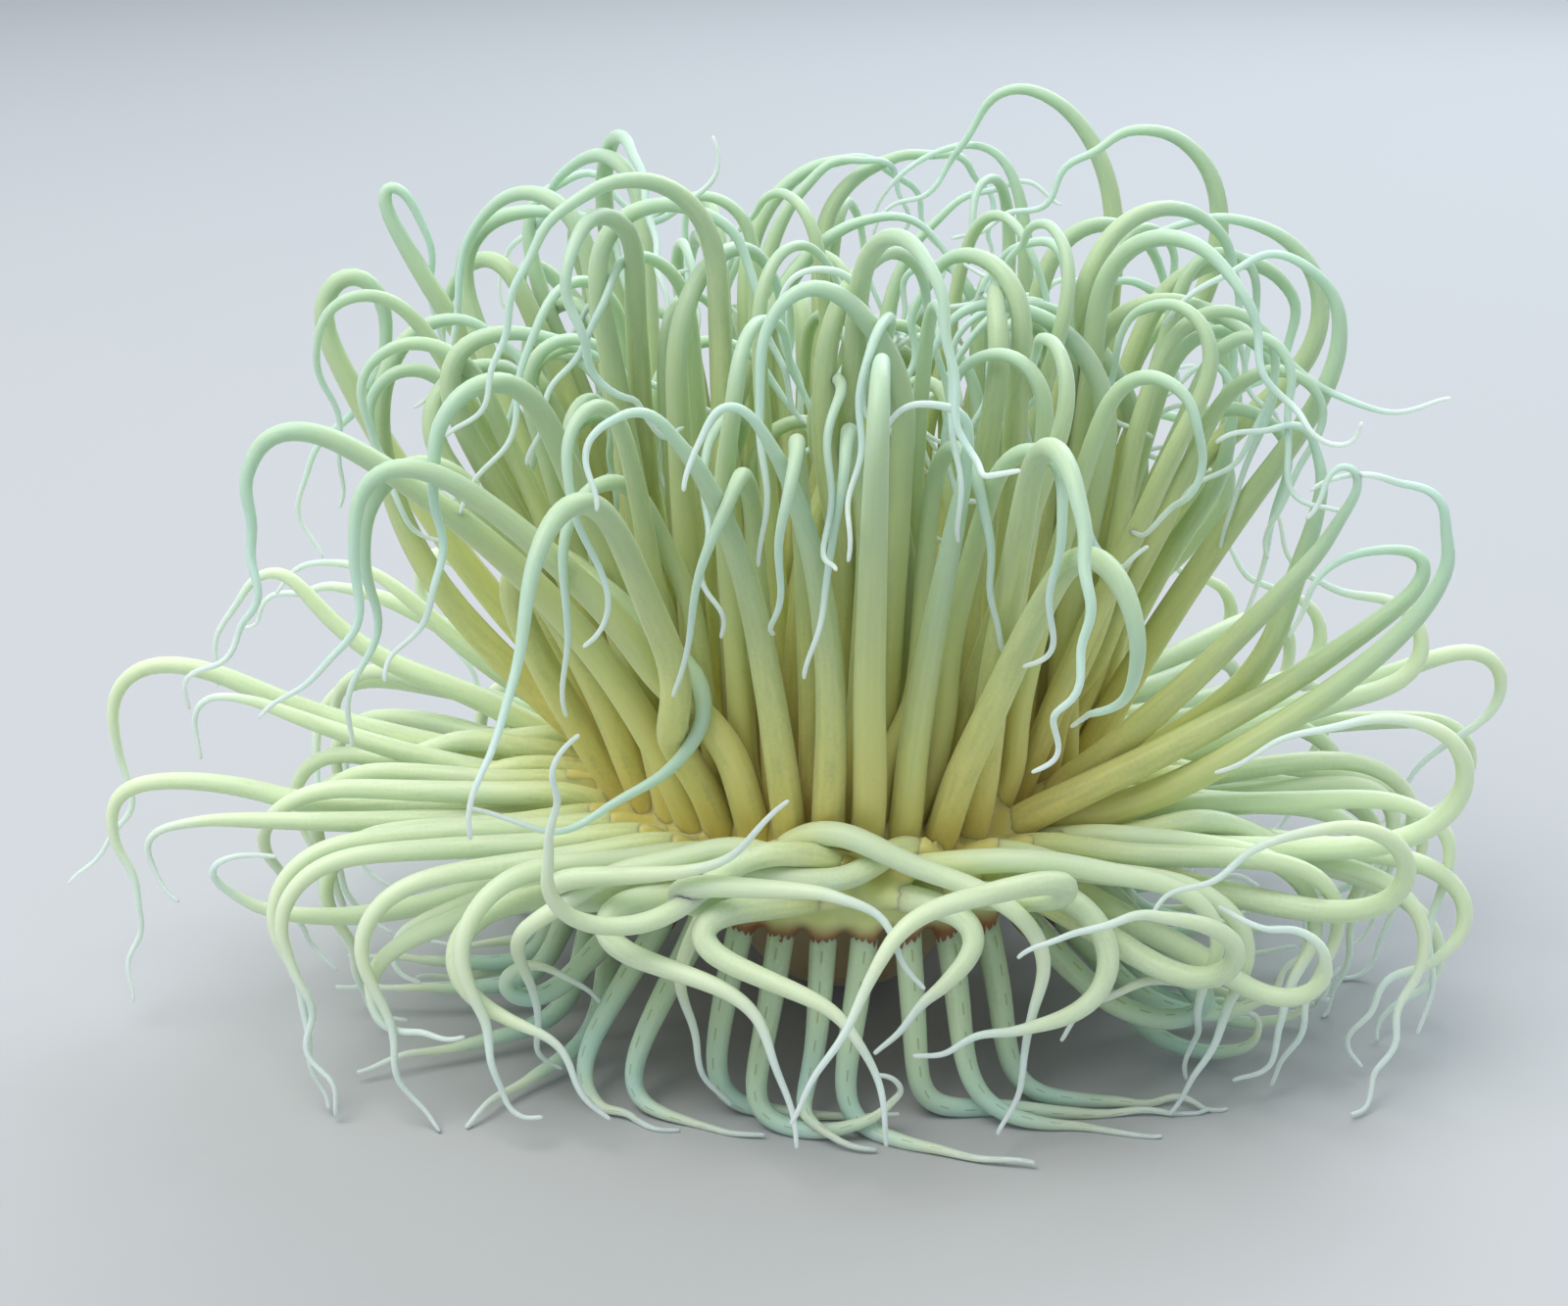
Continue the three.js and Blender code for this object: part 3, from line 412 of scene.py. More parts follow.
# %% [markdown]
# ## Settling
#
# Tentacles that grow by their own habits run through each other, and real ones lie against
# each other. Each round finds the points that are too near, pushes both away a little, and
# then restores every tentacle's length from its seat outwards. A cloth or rope simulation
# could do this too, but this keeps the lengths exactly and gives the same result each time.
# The rounds, distances and rules are those of the solids, so that both settle alike.

# %% The column's route
COLUMN_RADIUS = 15.5
COLUMN_END_RADIUS = 8.5
COLUMN_TAPER = 1.6
COLUMN_TOP = 24
COLUMN_DROP = 0.2
COLUMN_SINK = 0.94
COLUMN_BALLS = 50
COLUMN_SWELL = {"share": 0.05, "waves": 9}
COLUMN_ROUTE = [(0, 2), (0, 24), (3, 50), (9, 85), (12, 120), (6, 155), (-4, 182)]
ROUTE_SAMPLES = 200


def catmull_rom(knots, at):
    """Points of a centripetal Catmull-Rom curve through the knots, at shares of its knots."""
    knots = np.asarray(knots, float)
    ends = [[2 * knots[0] - knots[1]], knots, [2 * knots[-1] - knots[-2]]]
    padded = np.concatenate(ends)
    p = np.asarray(at) * (len(knots) - 1)
    i = np.minimum(p.astype(int), len(knots) - 2)
    w = (p - i)[:, None]
    p0, p1, p2, p3 = (padded[i + k] for k in range(4))
    d0, d1, d2 = (np.sqrt(np.linalg.norm(b - a, axis=1))[:, None] for a, b in ((p0, p1), (p1, p2), (p2, p3)))
    t1 = ((p1 - p0) / d0 - (p2 - p0) / (d0 + d1) + (p2 - p1) / d1) * d1
    t2 = ((p2 - p1) / d1 - (p3 - p1) / (d1 + d2) + (p3 - p2) / d2) * d1
    square = -3 * p1 + 3 * p2 - 2 * t1 - t2
    cube = 2 * p1 - 2 * p2 + t1 + t2
    return p1 + t1 * w + square * w ** 2 + cube * w ** 3


def column_radius(t):
    swell = 1 + COLUMN_SWELL["share"] * np.sin(COLUMN_SWELL["waves"] * t)
    return (COLUMN_RADIUS + (COLUMN_END_RADIUS - COLUMN_RADIUS) * t ** COLUMN_TAPER) * swell


def column_height(t):
    lying = COLUMN_SINK * column_radius(t)
    ease = np.clip(t / COLUMN_DROP, 0, 1)
    return COLUMN_TOP + (lying - COLUMN_TOP) * ease * ease * (3 - 2 * ease)


def column_points(t):
    """The column's axis at the shares t of its length."""
    fine = np.linspace(0, 1, ROUTE_SAMPLES + 1)
    route = catmull_rom(COLUMN_ROUTE, fine)
    lengths = np.concatenate([[0], np.cumsum(np.linalg.norm(np.diff(route, axis=0), axis=1))])
    at = catmull_rom(COLUMN_ROUTE, np.interp(np.asarray(t) * lengths[-1], lengths, fine))
    return np.column_stack([at, column_height(np.asarray(t))])


balls = np.linspace(0, 1, COLUMN_BALLS + 1)
column_balls = {"points": column_points(balls), "radii": column_radius(balls) + GAP}
print("column from", column_balls["points"][0].round(1), "to", column_balls["points"][-1].round(1))

# %% Neighbours and pushes
CELL = 8
REACH = (-2, -1, 0, 1, 2)
PUSH_SHARES = (0.12, 0.24, 0.28, 0.24, 0.12)
SETTLE_ROUNDS = 70
SLACK = 1
STIFF_ROOT = 24
UNDER_RIM = 8
SELF_CLEAR = 4           # points of one strand nearer along it, per their room, let each other be
SAME_POINT = 1e-6
MARGIN = 4               # candidates are looked up this much further than they push
BLOCK = 800              # points compared with all others at a time
TRUMPET = [(0, 4), (10, 4.6), (17, 8), (21, 14), (25, 20), (31, 27), (40, 33), (46, 36.6), (47, 40.2)]


def near_pairs(points, others, radii, other_radii, strand, other_strand, along, other_along):
    """Indices of the points and others that may come to push each other. Points of one strand
    that follow closely on each other don't."""
    found = []
    squares = (others ** 2).sum(axis=1)
    for low in range(0, len(points), BLOCK):
        block = points[low:low + BLOCK]
        apart = (block ** 2).sum(axis=1)[:, None] + squares - 2 * block @ others.T
        reach = radii[low:low + BLOCK, None] + (other_radii + GAP + SLACK + MARGIN)
        i, j = np.nonzero(apart < reach * reach)
        i += low
        room = radii[i] + other_radii[j]
        close = (strand[i] == other_strand[j]) & (np.abs(along[i] - other_along[j]) < SELF_CLEAR * room)
        found.append((i[~close], j[~close]))
    return tuple(np.concatenate(side) for side in zip(*found))


def pushes_on(points, others, radii, other_radii, share, pairs):
    i, j = pairs
    away = points[i] - others[j]
    distance = np.linalg.norm(away, axis=1)
    reach = radii[i] + other_radii[j] + GAP + SLACK
    cells = np.abs(np.floor(points[i] / CELL) - np.floor(others[j] / CELL)).max(axis=1)
    touching = (distance < reach) & (distance > SAME_POINT) & (cells <= REACH[-1])
    i, j, away, distance, reach = (a[touching] for a in (i, j, away, distance, reach))
    by = (share[j] * (reach - distance) / distance)[:, None] * away
    return np.stack([np.bincount(i, by[:, k], len(points)) for k in range(3)], axis=1)


print("a tentacle looks", 2 * CELL, "mm and more around itself")


# %% Settle
def settle(moving, fixed, rounds):
    """Pushes the moving strands apart and off the fixed ones, in place."""
    counts = np.array([len(s["points"]) for s in moving])
    starts = np.concatenate([[0], np.cumsum(counts)[:-1]])
    last = counts - 1
    points = np.concatenate([s["points"] for s in moving])
    radii = np.concatenate([s["radii"] for s in moving])
    steps = np.array([s["step"] for s in moving])
    strand = np.repeat(np.arange(len(moving)), counts)
    along = np.concatenate([np.arange(n) * s for n, s in zip(counts, steps)])
    fixed_points = np.concatenate([s["points"] for s in fixed])
    all_radii = np.concatenate([radii, *(s["radii"] for s in fixed)])
    all_strand = np.concatenate([strand, np.full(len(fixed_points), -1)])
    all_along = np.concatenate([along, np.zeros(len(fixed_points))])
    share = np.where(all_strand < 0, 1, 0.5)
    ranks = np.arange(counts.max())
    looked_up = None
    for _ in range(rounds):
        others = np.concatenate([points, fixed_points])
        if looked_up is None or np.linalg.norm(points - looked_up, axis=1).max() > MARGIN / 2:
            pairs = near_pairs(points, others, radii, all_radii, strand, all_strand, along, all_along)
            looked_up = points.copy()
        push = pushes_on(points, others, radii, all_radii, share, pairs)
        spread = sum(w * push[starts[:, None] + np.clip(ranks + k, 0, last[:, None])]
                     for k, w in zip(REACH, PUSH_SHARES))
        ease = np.minimum(1, ranks * steps[:, None] / STIFF_ROOT)[..., None]
        moved = points[starts[:, None] + np.minimum(ranks, last[:, None])] + spread * ease
        for i in ranks[1:]:
            on = i <= last
            here = starts[on] + i
            radius = radii[here]
            points[here] = follow(points[here - 1], off_trumpet(moved[on, i], radius), steps[on],
                                  FLOOR_SINK * radius)
    for s, start, count in zip(moving, starts, counts):
        s["points"] = points[start:start + count]


def off_trumpet(points, radii):
    """Points under the margin are moved out of the trumpet."""
    outline = np.array(TRUMPET)
    height = points[:, 2]
    clear = np.interp(height, outline[:, 1], outline[:, 0], left=0, right=0) + radii + GAP
    way = np.maximum(np.hypot(points[:, 0], points[:, 1]), 1e-9)
    crowded = (way < clear) & (height < RIM_HEIGHT - UNDER_RIM)
    out = points.copy()
    out[crowded, :2] *= (clear / way)[crowded, None]
    return out


settle(strands, [column_balls], SETTLE_ROUNDS)
reach = np.concatenate([s["points"] for s in strands])
print("settled, from", reach.min(0).round(1), "to", reach.max(0).round(1))

# %% [markdown]
# ## Finer tentacles
#
# The solids hold the tentacles that give the outline. A living animal has more of them, and
# thinner ones, between these: a short row inside the crown, a row that fills the gaps between
# the stalks, and a mat of close-set ones that hides the margin. They are grown in the same
# way and settle against the others, which stay where the solids have them.

# %% Inner row, filling row and mat
FINER = {
    "inner": {"per": 2, "seat": 31.8, "up": 0.0, "base": 2.0, "shift": 0.4, "out": 0, "climb": 1},
    "filling": {"per": 3, "seat": 40.6, "up": -0.4, "base": 2.3, "shift": 0.42, "out": 0.15, "climb": 1},
    "mat": {"per": 3, "seat": 48.2, "up": -0.4, "base": 2.35, "shift": -0.38, "out": 1, "climb": 0.15},
}
FINER_ROUNDS = 24
MAT_ASIDE = {"least": 74, "gain": 0.2}   # how far the mat turns away from the viewer, in degrees
MAT_CROSSES = 24         # degrees either side of the front, where every other one crosses over


def inner_habit(azimuth, n):
    side = -1 if scatter(n, 101) > 0 else 1
    return [azimuth + 60 * scatter(n, 102), 6 * scatter(n, 103), 16 * scatter(n, 104),
            88 + 8 * scatter(n, 105), [84 + 18 * scatter(n, 106), 8 * scatter(n, 107)],
            [20, side * 110], [16, side * 60], [14, -side * 50], [14, 120 * scatter(n, 108)]]


def filling_habit(azimuth, n):
    side = -1 if scatter(n, 141) > -0.4 else 1
    rightward = math.cos(math.radians(azimuth))
    return [azimuth + 24 * scatter(n, 142), 5 * scatter(n, 143), 14 * scatter(n, 144),
            84 - 8 * abs(rightward) + 5 * scatter(n, 145),
            [84 + 20 * scatter(n, 146), -6 + 8 * scatter(n, 147)],
            [18 + 4 * scatter(n, 148), side * 110], [14, side * 70], [16, side * 40 * scatter(n, 149)],
            [14, 130 * scatter(n, 150)]]


def mat_habit(azimuth, n):
    side = -1 if scatter(n, 121) > -0.85 else 1
    from_front = (azimuth + 90 + 180) % 360 - 180
    aside = max(abs(from_front), MAT_ASIDE["least"] + MAT_ASIDE["gain"] * abs(from_front))
    crosses = abs(from_front) < MAT_CROSSES and n % 2
    facing = -90 + math.copysign(aside, -from_front if crosses else from_front)
    return [facing, 5 * scatter(n, 122), 22 * scatter(n, 123), 3 + 5 * scatter(n, 125),
            [50 + 12 * scatter(n, 126), -5 + 6 * scatter(n, 127)], [18, side * 75], [12, side * 60],
            [12, -side * 70], [10, side * 70], [8, 70 * scatter(n, 128)]]


finer = grow(FINER, {"inner": inner_habit, "filling": filling_habit, "mat": mat_habit}, {})
settle(finer, [*strands, column_balls], FINER_ROUNDS)
every_strand = [*strands, *finer]
base_radius = {cycle: c["base"] for cycle, c in {**CYCLES, **FINER}.items()}
print("finer strands:", len(finer), "all:", len(every_strand))

# %% [markdown]
# ## One tentacle, modelled once
#
# Every tentacle is a long tapered tube with a closed, rounded tip. It could be a curve with a
# bevel, but a mesh keeps control of every ring. So one straight tube is modelled as by hand:
# a circle is extruded ring by ring along Z. Each copy has its own mesh, which is bent along
# its own centreline and scaled to its taper, with a wavy tail as the live ones have.

# %% Straight tube
AROUND = 12              # points round a tentacle
RINGS = 90               # rings along it
TO_THE_TIP = 1.5         # power by which the rings are closer towards its tip


def add_tube(name, around, rings):
    """A closed tube along Z from 0 to 1, of radius 1, modelled by extruding a circle."""
    bpy.ops.object.select_all(action="DESELECT")
    bpy.ops.mesh.primitive_circle_add(vertices=around, radius=1, fill_type="NGON")
    tube = bpy.context.object
    tube.name = name
    bpy.ops.object.mode_set(mode="EDIT")
    bpy.ops.mesh.select_all(action="SELECT")
    for _ in range(rings):
        bpy.ops.mesh.extrude_region_move(TRANSFORM_OT_translate={"value": (0, 0, 1 / rings)})
    bpy.ops.mesh.select_all(action="SELECT")
    bpy.ops.mesh.normals_make_consistent(inside=False)
    bpy.ops.object.mode_set(mode="OBJECT")
    return tube


straight_tentacle = add_tube("straight_tentacle", AROUND, RINGS)
print("straight tentacle:", len(straight_tentacle.data.vertices), "vertices")


# %% Smooth centreline
def coordinates(mesh):
    co = np.empty(len(mesh.vertices) * 3)
    mesh.vertices.foreach_get("co", co)
    return co.reshape(-1, 3)


def smooth_line(points, at):
    """Points of a smooth curve through evenly spaced ones, at shares of its length."""
    ends = np.concatenate([[2 * points[0] - points[1]], points, [2 * points[-1] - points[-2]]])
    p = at * (len(points) - 1)
    i = np.minimum(p.astype(int), len(points) - 2)
    w = (p - i)[:, None]
    a, b, c, d = (ends[i + k] for k in range(4))
    square = 2 * a - 5 * b + 4 * c - d
    cube = 3 * b - a - 3 * c + d
    return 0.5 * (2 * b + (c - a) * w + square * w ** 2 + cube * w ** 3)


def eased(points, rounds):
    """The points of a line without the small corners that settling leaves in it."""
    for _ in range(rounds):
        middle = (points[:-2] + 2 * points[1:-1] + points[2:]) / 4
        points = np.concatenate([points[:1], middle, points[-1:]])
    return points


def frames_along(line, facing):
    """Two directions across a line that turn with it and never twist. The first one looks the
    way of facing at the start."""
    tangents = np.gradient(line, axis=0)
    tangents /= np.linalg.norm(tangents, axis=1)[:, None]
    side = np.asarray(facing, float)
    sides = []
    for tangent in tangents:
        side = side - tangent * (side @ tangent)
        side = side / np.linalg.norm(side)
        sides.append(side)
    sides = np.array(sides)
    return sides, np.cross(tangents, sides)


print("smooth through", len(strands[0]["points"]), "points")

# %% Bend a copy along a centreline
ROUND_TIP = 4            # rings that round off a tip
THINNEST = 0.01          # radius of the very tip
EASE_ROUNDS = 3          # times that a centreline is smoothed
ANY_SIDE = (0.3, 0.2, 0.9)   # a direction that no centreline starts along
WAVE = {"from": 0.7, "height": 1.1, "length": 17}   # of the wavy tail, in shares and millimetres


def wavy(line, t, length, n):
    """The line with a winding tail, on which no two tentacles are alike."""
    sides, across = frames_along(line, ANY_SIDE)
    tail = np.clip((t - WAVE["from"]) / (1 - WAVE["from"]), 0, 1)
    height = WAVE["height"] * tail * (1 + 0.5 * scatter(n, 91))
    turns = 2 * math.pi * t * length / WAVE["length"] * (1 + 0.3 * scatter(n, 92)) + 3 * scatter(n, 93)
    return line + (height * np.sin(turns))[:, None] * sides + (height * np.cos(0.7 * turns))[:, None] * across


def bent_copy(tube, line, radii, facing):
    """A copy of a straight tube with its own mesh, bent along a line of stations. It lies on
    the floor where it would dip below it."""
    piece = tube.copy()
    piece.data = tube.data.copy()
    bpy.context.collection.objects.link(piece)
    co = coordinates(piece.data)
    i = np.round(co[:, 2] * (len(line) - 1)).astype(int)
    sides, across = frames_along(line, facing)
    bent = line[i] + radii[i, None] * (co[:, :1] * sides[i] + co[:, 1:2] * across[i])
    bent[:, 2] = np.maximum(bent[:, 2], 0)
    piece.data.vertices.foreach_set("co", placed(bent).ravel())
    return piece


def tell(mesh, name, kind, values):
    """Stores a number or a vector for each point, which materials read by its name."""
    attribute = mesh.attributes.new(name, kind, "POINT")
    field = "vector" if kind == "FLOAT_VECTOR" else "value"
    attribute.data.foreach_set(field, np.asarray(values, np.float32).ravel())


def rounded(at, rings):
    """Shares of the radius that round off the last rings to a closed tip."""
    end = np.clip((1 - at) * rings / ROUND_TIP, 0, 1)
    return np.sqrt(1 - (1 - end) ** 2)


print("waves of", WAVE["length"], "mm on the tails")

# %% The skin of a tentacle
PLUMP = 1.06             # the round skin is this much thicker than the round of the solid's section


def tentacle(tube, rings, strand, base):
    """One tentacle. Each of its points knows its share of the length, its tentacle's tone, and
    its place on the tube: two numbers for the way round, and millimetres along."""
    t = 1 - (1 - np.linspace(0, 1, rings + 1)) ** TO_THE_TIP
    length = strand["step"] * (len(strand["points"]) - 1)
    n = strand["n"] + 10 * len(strand["cycle"])
    line = wavy(smooth_line(eased(strand["points"], EASE_ROUNDS), t), t, length, n)
    line[:, 2] = np.maximum(line[:, 2], FLOOR_SINK * radius_at(base, t) * PLUMP)
    radii = radius_at(base, t) * PLUMP * rounded(np.linspace(0, 1, rings + 1), rings) + THINNEST
    outward = np.append(strand["points"][0][:2], 0)
    straight = coordinates(tube.data)
    piece = bent_copy(tube, line, radii, outward)
    share = t[np.round(straight[:, 2] * rings).astype(int)]
    tell(piece.data, "share", "FLOAT", share)
    tell(piece.data, "tone", "FLOAT", np.full(len(share), scatter(n, 94)))
    tell(piece.data, "tube", "FLOAT_VECTOR", np.column_stack([straight[:, :2], share * length]))
    return piece


def joined(pieces, name):
    bpy.ops.object.select_all(action="DESELECT")
    for piece in pieces:
        piece.select_set(True)
    bpy.context.view_layer.objects.active = pieces[0]
    bpy.ops.object.join()
    bpy.ops.object.shade_smooth()
    piece = bpy.context.object
    piece.name = name
    piece.data.name = name
    return piece


def triangles(piece):
    return sum(len(face.vertices) - 2 for face in piece.data.polygons)


def tentacle_skin(name, cycles):
    """One piece of the skin: all the tentacles of some cycles."""
    own = [s for s in every_strand if s["cycle"] in cycles]
    skin = joined([tentacle(straight_tentacle, RINGS, s, base_radius[s["cycle"]]) for s in own], name)
    print(name, len(own), "tentacles,", triangles(skin), "triangles")
    return skin


skins = {
    "crown": tentacle_skin("skin_crown", ["crown", "inner"]),
    "brush": tentacle_skin("skin_brush", ["brush", "filling"]),
    "spread": tentacle_skin("skin_spread", ["spread", "mat"]),
    "skirt": tentacle_skin("skin_skirt", ["skirt"]),
}

# %% [markdown]
# ## Disc, margin and column in one skin
#
# Under the tentacles the animal is one piece of flesh: a trumpet that opens into the margin,
# the dished disc with its mouth, and the column that turns back and lies on the floor. The
# trumpet is modelled from a circle by extruding and scaling, and the column from a straight
# tube bent along its route. The foot of every tentacle is added as a short flared collar, and
# a voxel remesh fuses them all, as clay is smeared together. Smoothing then leaves a soft
# fillet round every tentacle, so no seam shows.

# %% Trumpet and disc
BODY_AROUND = 96
MOUTH_SQUEEZE = 0.55     # the mouth is a slit, narrower across than along
BODY_PROFILE = [
    (10, 4.4), (15, 6.6), (18.5, 10), (21, 14), (25, 20), (31, 27), (40, 32.6), (46, 34.6),
    (50.6, 34.9), (52.2, 37.5), (51.8, 41), (50.4, 43.6), (48, 45.2), (44, 46.6), (38, 47.4),
    (33, 47.4), (29, 46.6), (22, 45.2), (14, 44.3), (11, 45.2), (9, 46.3), (7, 46.9),
]
MOUTH_PROFILE = [(5, 46.2), (3.6, 44.6), (2.4, 43.2)]


def trumpet_shape():
    """The closed shape under the tentacles: rings extruded upwards, over the margin and down
    into the mouth, which narrows across as it goes."""
    radius, height = BODY_PROFILE[0]
    bpy.ops.object.select_all(action="DESELECT")
    bpy.ops.mesh.primitive_circle_add(vertices=BODY_AROUND, radius=radius * MM, fill_type="NGON",
                                      location=placed((0, 0, height)))
    shape = bpy.context.object
    bpy.ops.object.mode_set(mode="EDIT")
    bpy.ops.mesh.select_all(action="SELECT")
    axis = tuple(placed((0, 0, 0)))
    rings = [(r, z, 1) for r, z in BODY_PROFILE]
    steps = len(MOUTH_PROFILE)
    rings += [(r, z, MOUTH_SQUEEZE ** (i / steps)) for i, (r, z) in enumerate(MOUTH_PROFILE, 1)]
    for (r0, z0, across0), (r1, z1, across1) in zip(rings, rings[1:]):
        bpy.ops.mesh.extrude_region_move(TRANSFORM_OT_translate={"value": (0, 0, (z1 - z0) * MM)})
        bpy.ops.transform.resize(value=(r1 / r0 * across1 / across0, r1 / r0, 1), center_override=axis)
    bpy.ops.mesh.select_all(action="SELECT")
    bpy.ops.mesh.normals_make_consistent(inside=False)
    bpy.ops.object.mode_set(mode="OBJECT")
    bpy.ops.object.transform_apply(location=True, rotation=True, scale=True)
    return shape


trumpet = trumpet_shape()
print("trumpet and disc:", len(trumpet.data.vertices), "vertices")

# %% Column
COLUMN_AROUND = 64
COLUMN_STATIONS = 200
COLUMN_FOLD = {"height": 0.3, "count": 34, "drift": 2.2}   # ring-shaped folds along it
COLUMN_BLUNT = 18        # power by which its end closes


def column_skin_radii(t):
    ends = np.sqrt(np.clip(1 - t ** COLUMN_BLUNT, 0.001, 1))
    waves = 2 * math.pi * COLUMN_FOLD["count"] * t + COLUMN_FOLD["drift"] * np.sin(13 * t)
    folds = COLUMN_FOLD["height"] * (np.sin(waves) - 1)
    return (column_radius(t) + folds) * ends


along_column = np.linspace(0, 1, COLUMN_STATIONS + 1)
straight_column = add_tube("straight_column", COLUMN_AROUND, COLUMN_STATIONS)
column = bent_copy(straight_column, column_points(along_column), column_skin_radii(along_column), (1, 0, 0))
print("column:", len(column.data.vertices), "vertices")

# %% Collars
COLLAR_RINGS = 8
COLLAR_LENGTH = 9
COLLAR_FLARE = 0.2       # how much wider than its tentacle a foot is
COLLAR_SLIP = 0.1        # how much narrower the collar's end is, so that it slips inside

straight_collar = add_tube("straight_collar", AROUND, COLLAR_RINGS)


def collar(strand):
    """The foot of a tentacle: its first millimetres, flared below and slipping inside above."""
    t = np.linspace(0, 1, COLLAR_RINGS + 1)
    at = t * COLLAR_LENGTH / (strand["step"] * (len(strand["points"]) - 1))
    flare = PLUMP * (1 + COLLAR_FLARE * (1 - t) ** 2 - COLLAR_SLIP * t)
    radii = flare * radius_at(base_radius[strand["cycle"]], at)
    return bent_copy(straight_collar, smooth_line(strand["points"], at), radii, ANY_SIDE)


collars = [collar(s) for s in every_strand]
print("collars:", len(collars))

# %% Fuse and smooth
VOXEL = 0.9
SMOOTHING = {"factor": 0.5, "iterations": 4}

body = joined([trumpet, column, *collars], "skin_body")
fuse = body.modifiers.new("fuse", "REMESH")
fuse.mode = "VOXEL"
fuse.voxel_size = VOXEL * MM
bpy.ops.object.modifier_apply(modifier="fuse")
soften = body.modifiers.new("soften", "SMOOTH")
soften.factor = SMOOTHING["factor"]
soften.iterations = SMOOTHING["iterations"]
bpy.ops.object.modifier_apply(modifier="soften")
skins["body"] = body
print("skin_body:", triangles(body), "triangles")

# %% Furrows of the disc
FURROWS = {"count": 28, "depth": 0.45, "inner": 9, "outer": 31}

co = coordinates(body.data) / MM - AXIS
way = np.hypot(co[:, 0], co[:, 1])
inside = np.clip((way - FURROWS["inner"]) / 4, 0, 1) * np.clip((FURROWS["outer"] - way) / 4, 0, 1)
on_disc = inside * (co[:, 2] > RIM_HEIGHT - 5)
azimuths = np.arctan2(co[:, 1], co[:, 0])
co[:, 2] -= FURROWS["depth"] * on_disc * (0.5 + 0.5 * np.cos(FURROWS["count"] * azimuths)) ** 2
body.data.vertices.foreach_set("co", placed(co).ravel())
bpy.ops.object.shade_smooth()
print("points on the disc:", int((on_disc > 0).sum()))

# %% Labial tentacles
LABIAL = {"count": 12, "seat": 15, "sunk": 4, "base": 1.1, "length": 17, "heading": 75, "lean": 20}
LABIAL_TURN = 50
LABIAL_ROWS = [(1.0, 0.0, 1.0), (0.8, 0.5, 0.8)]   # shares of the seat's radius, a seat and the length
LABIAL_AROUND = 10
LABIAL_RINGS = 20


def labial_strand(k, row):
    inward, shift, shorter = LABIAL_ROWS[row]
    azimuth = (k + 0.5 + shift) * 360 / LABIAL["count"]
    a = math.radians(azimuth)
    r = LABIAL["seat"] * inward
    n = k + 40 * row
    pose = [azimuth, 0, 0, LABIAL["heading"] + LABIAL["lean"] * scatter(n, 81),
            [LABIAL["length"] * shorter, LABIAL_TURN * scatter(n, 82)]]
    seat = (r * math.cos(a), r * math.sin(a), RIM_HEIGHT - LABIAL["sunk"])
    points, step = walk(seat, (0, 0, 1), LABIAL["base"], pose)
    return {"cycle": "labial", "n": n, "points": points, "step": step}


straight_labial = add_tube("straight_labial", LABIAL_AROUND, LABIAL_RINGS)
labials = [tentacle(straight_labial, LABIAL_RINGS, labial_strand(k, row), LABIAL["base"])
           for row in range(len(LABIAL_ROWS)) for k in range(LABIAL["count"])]
skins["labial"] = joined(labials, "skin_labials")
for tube in (straight_tentacle, straight_column, straight_collar, straight_labial):
    bpy.data.objects.remove(tube)
print("labial tentacles:", len(labials), "with", triangles(skins["labial"]), "triangles")

# %% [markdown]
# ## Finish of the flesh
#
# The flesh is smooth, wet and cloudy, like jelly. Light enters it and comes out again, so the
# thin tentacles glow softly. Subsurface scattering does that, and its weight, radius and
# scale are the same all over. What changes is the colour: ochre where the tentacles leave
# the disc, yellow-green and then sage along the stalk, and pale mint at the tip. The colour
# follows the share of the length that each point knows, so it bends with the tentacle.

# %% Shader maths
class Wire:
    """The output of a node. Python's operators on it add Math nodes."""

    def __init__(self, paint, socket):
        self.paint = paint
        self.socket = socket

    def math(self, operation, a, b):
        return self.paint.node("ShaderNodeMath", {"operation": operation}, {0: a, 1: b})

    def __add__(self, other):
        return self.math("ADD", self, other)

    def __sub__(self, other):
        return self.math("SUBTRACT", self, other)

    def __rsub__(self, other):
        return self.math("SUBTRACT", other, self)

    def __mul__(self, other):
        return self.math("MULTIPLY", self, other)

    def __mod__(self, other):
        return self.math("FLOORED_MODULO", self, other)

    __radd__ = __add__
    __rmul__ = __mul__


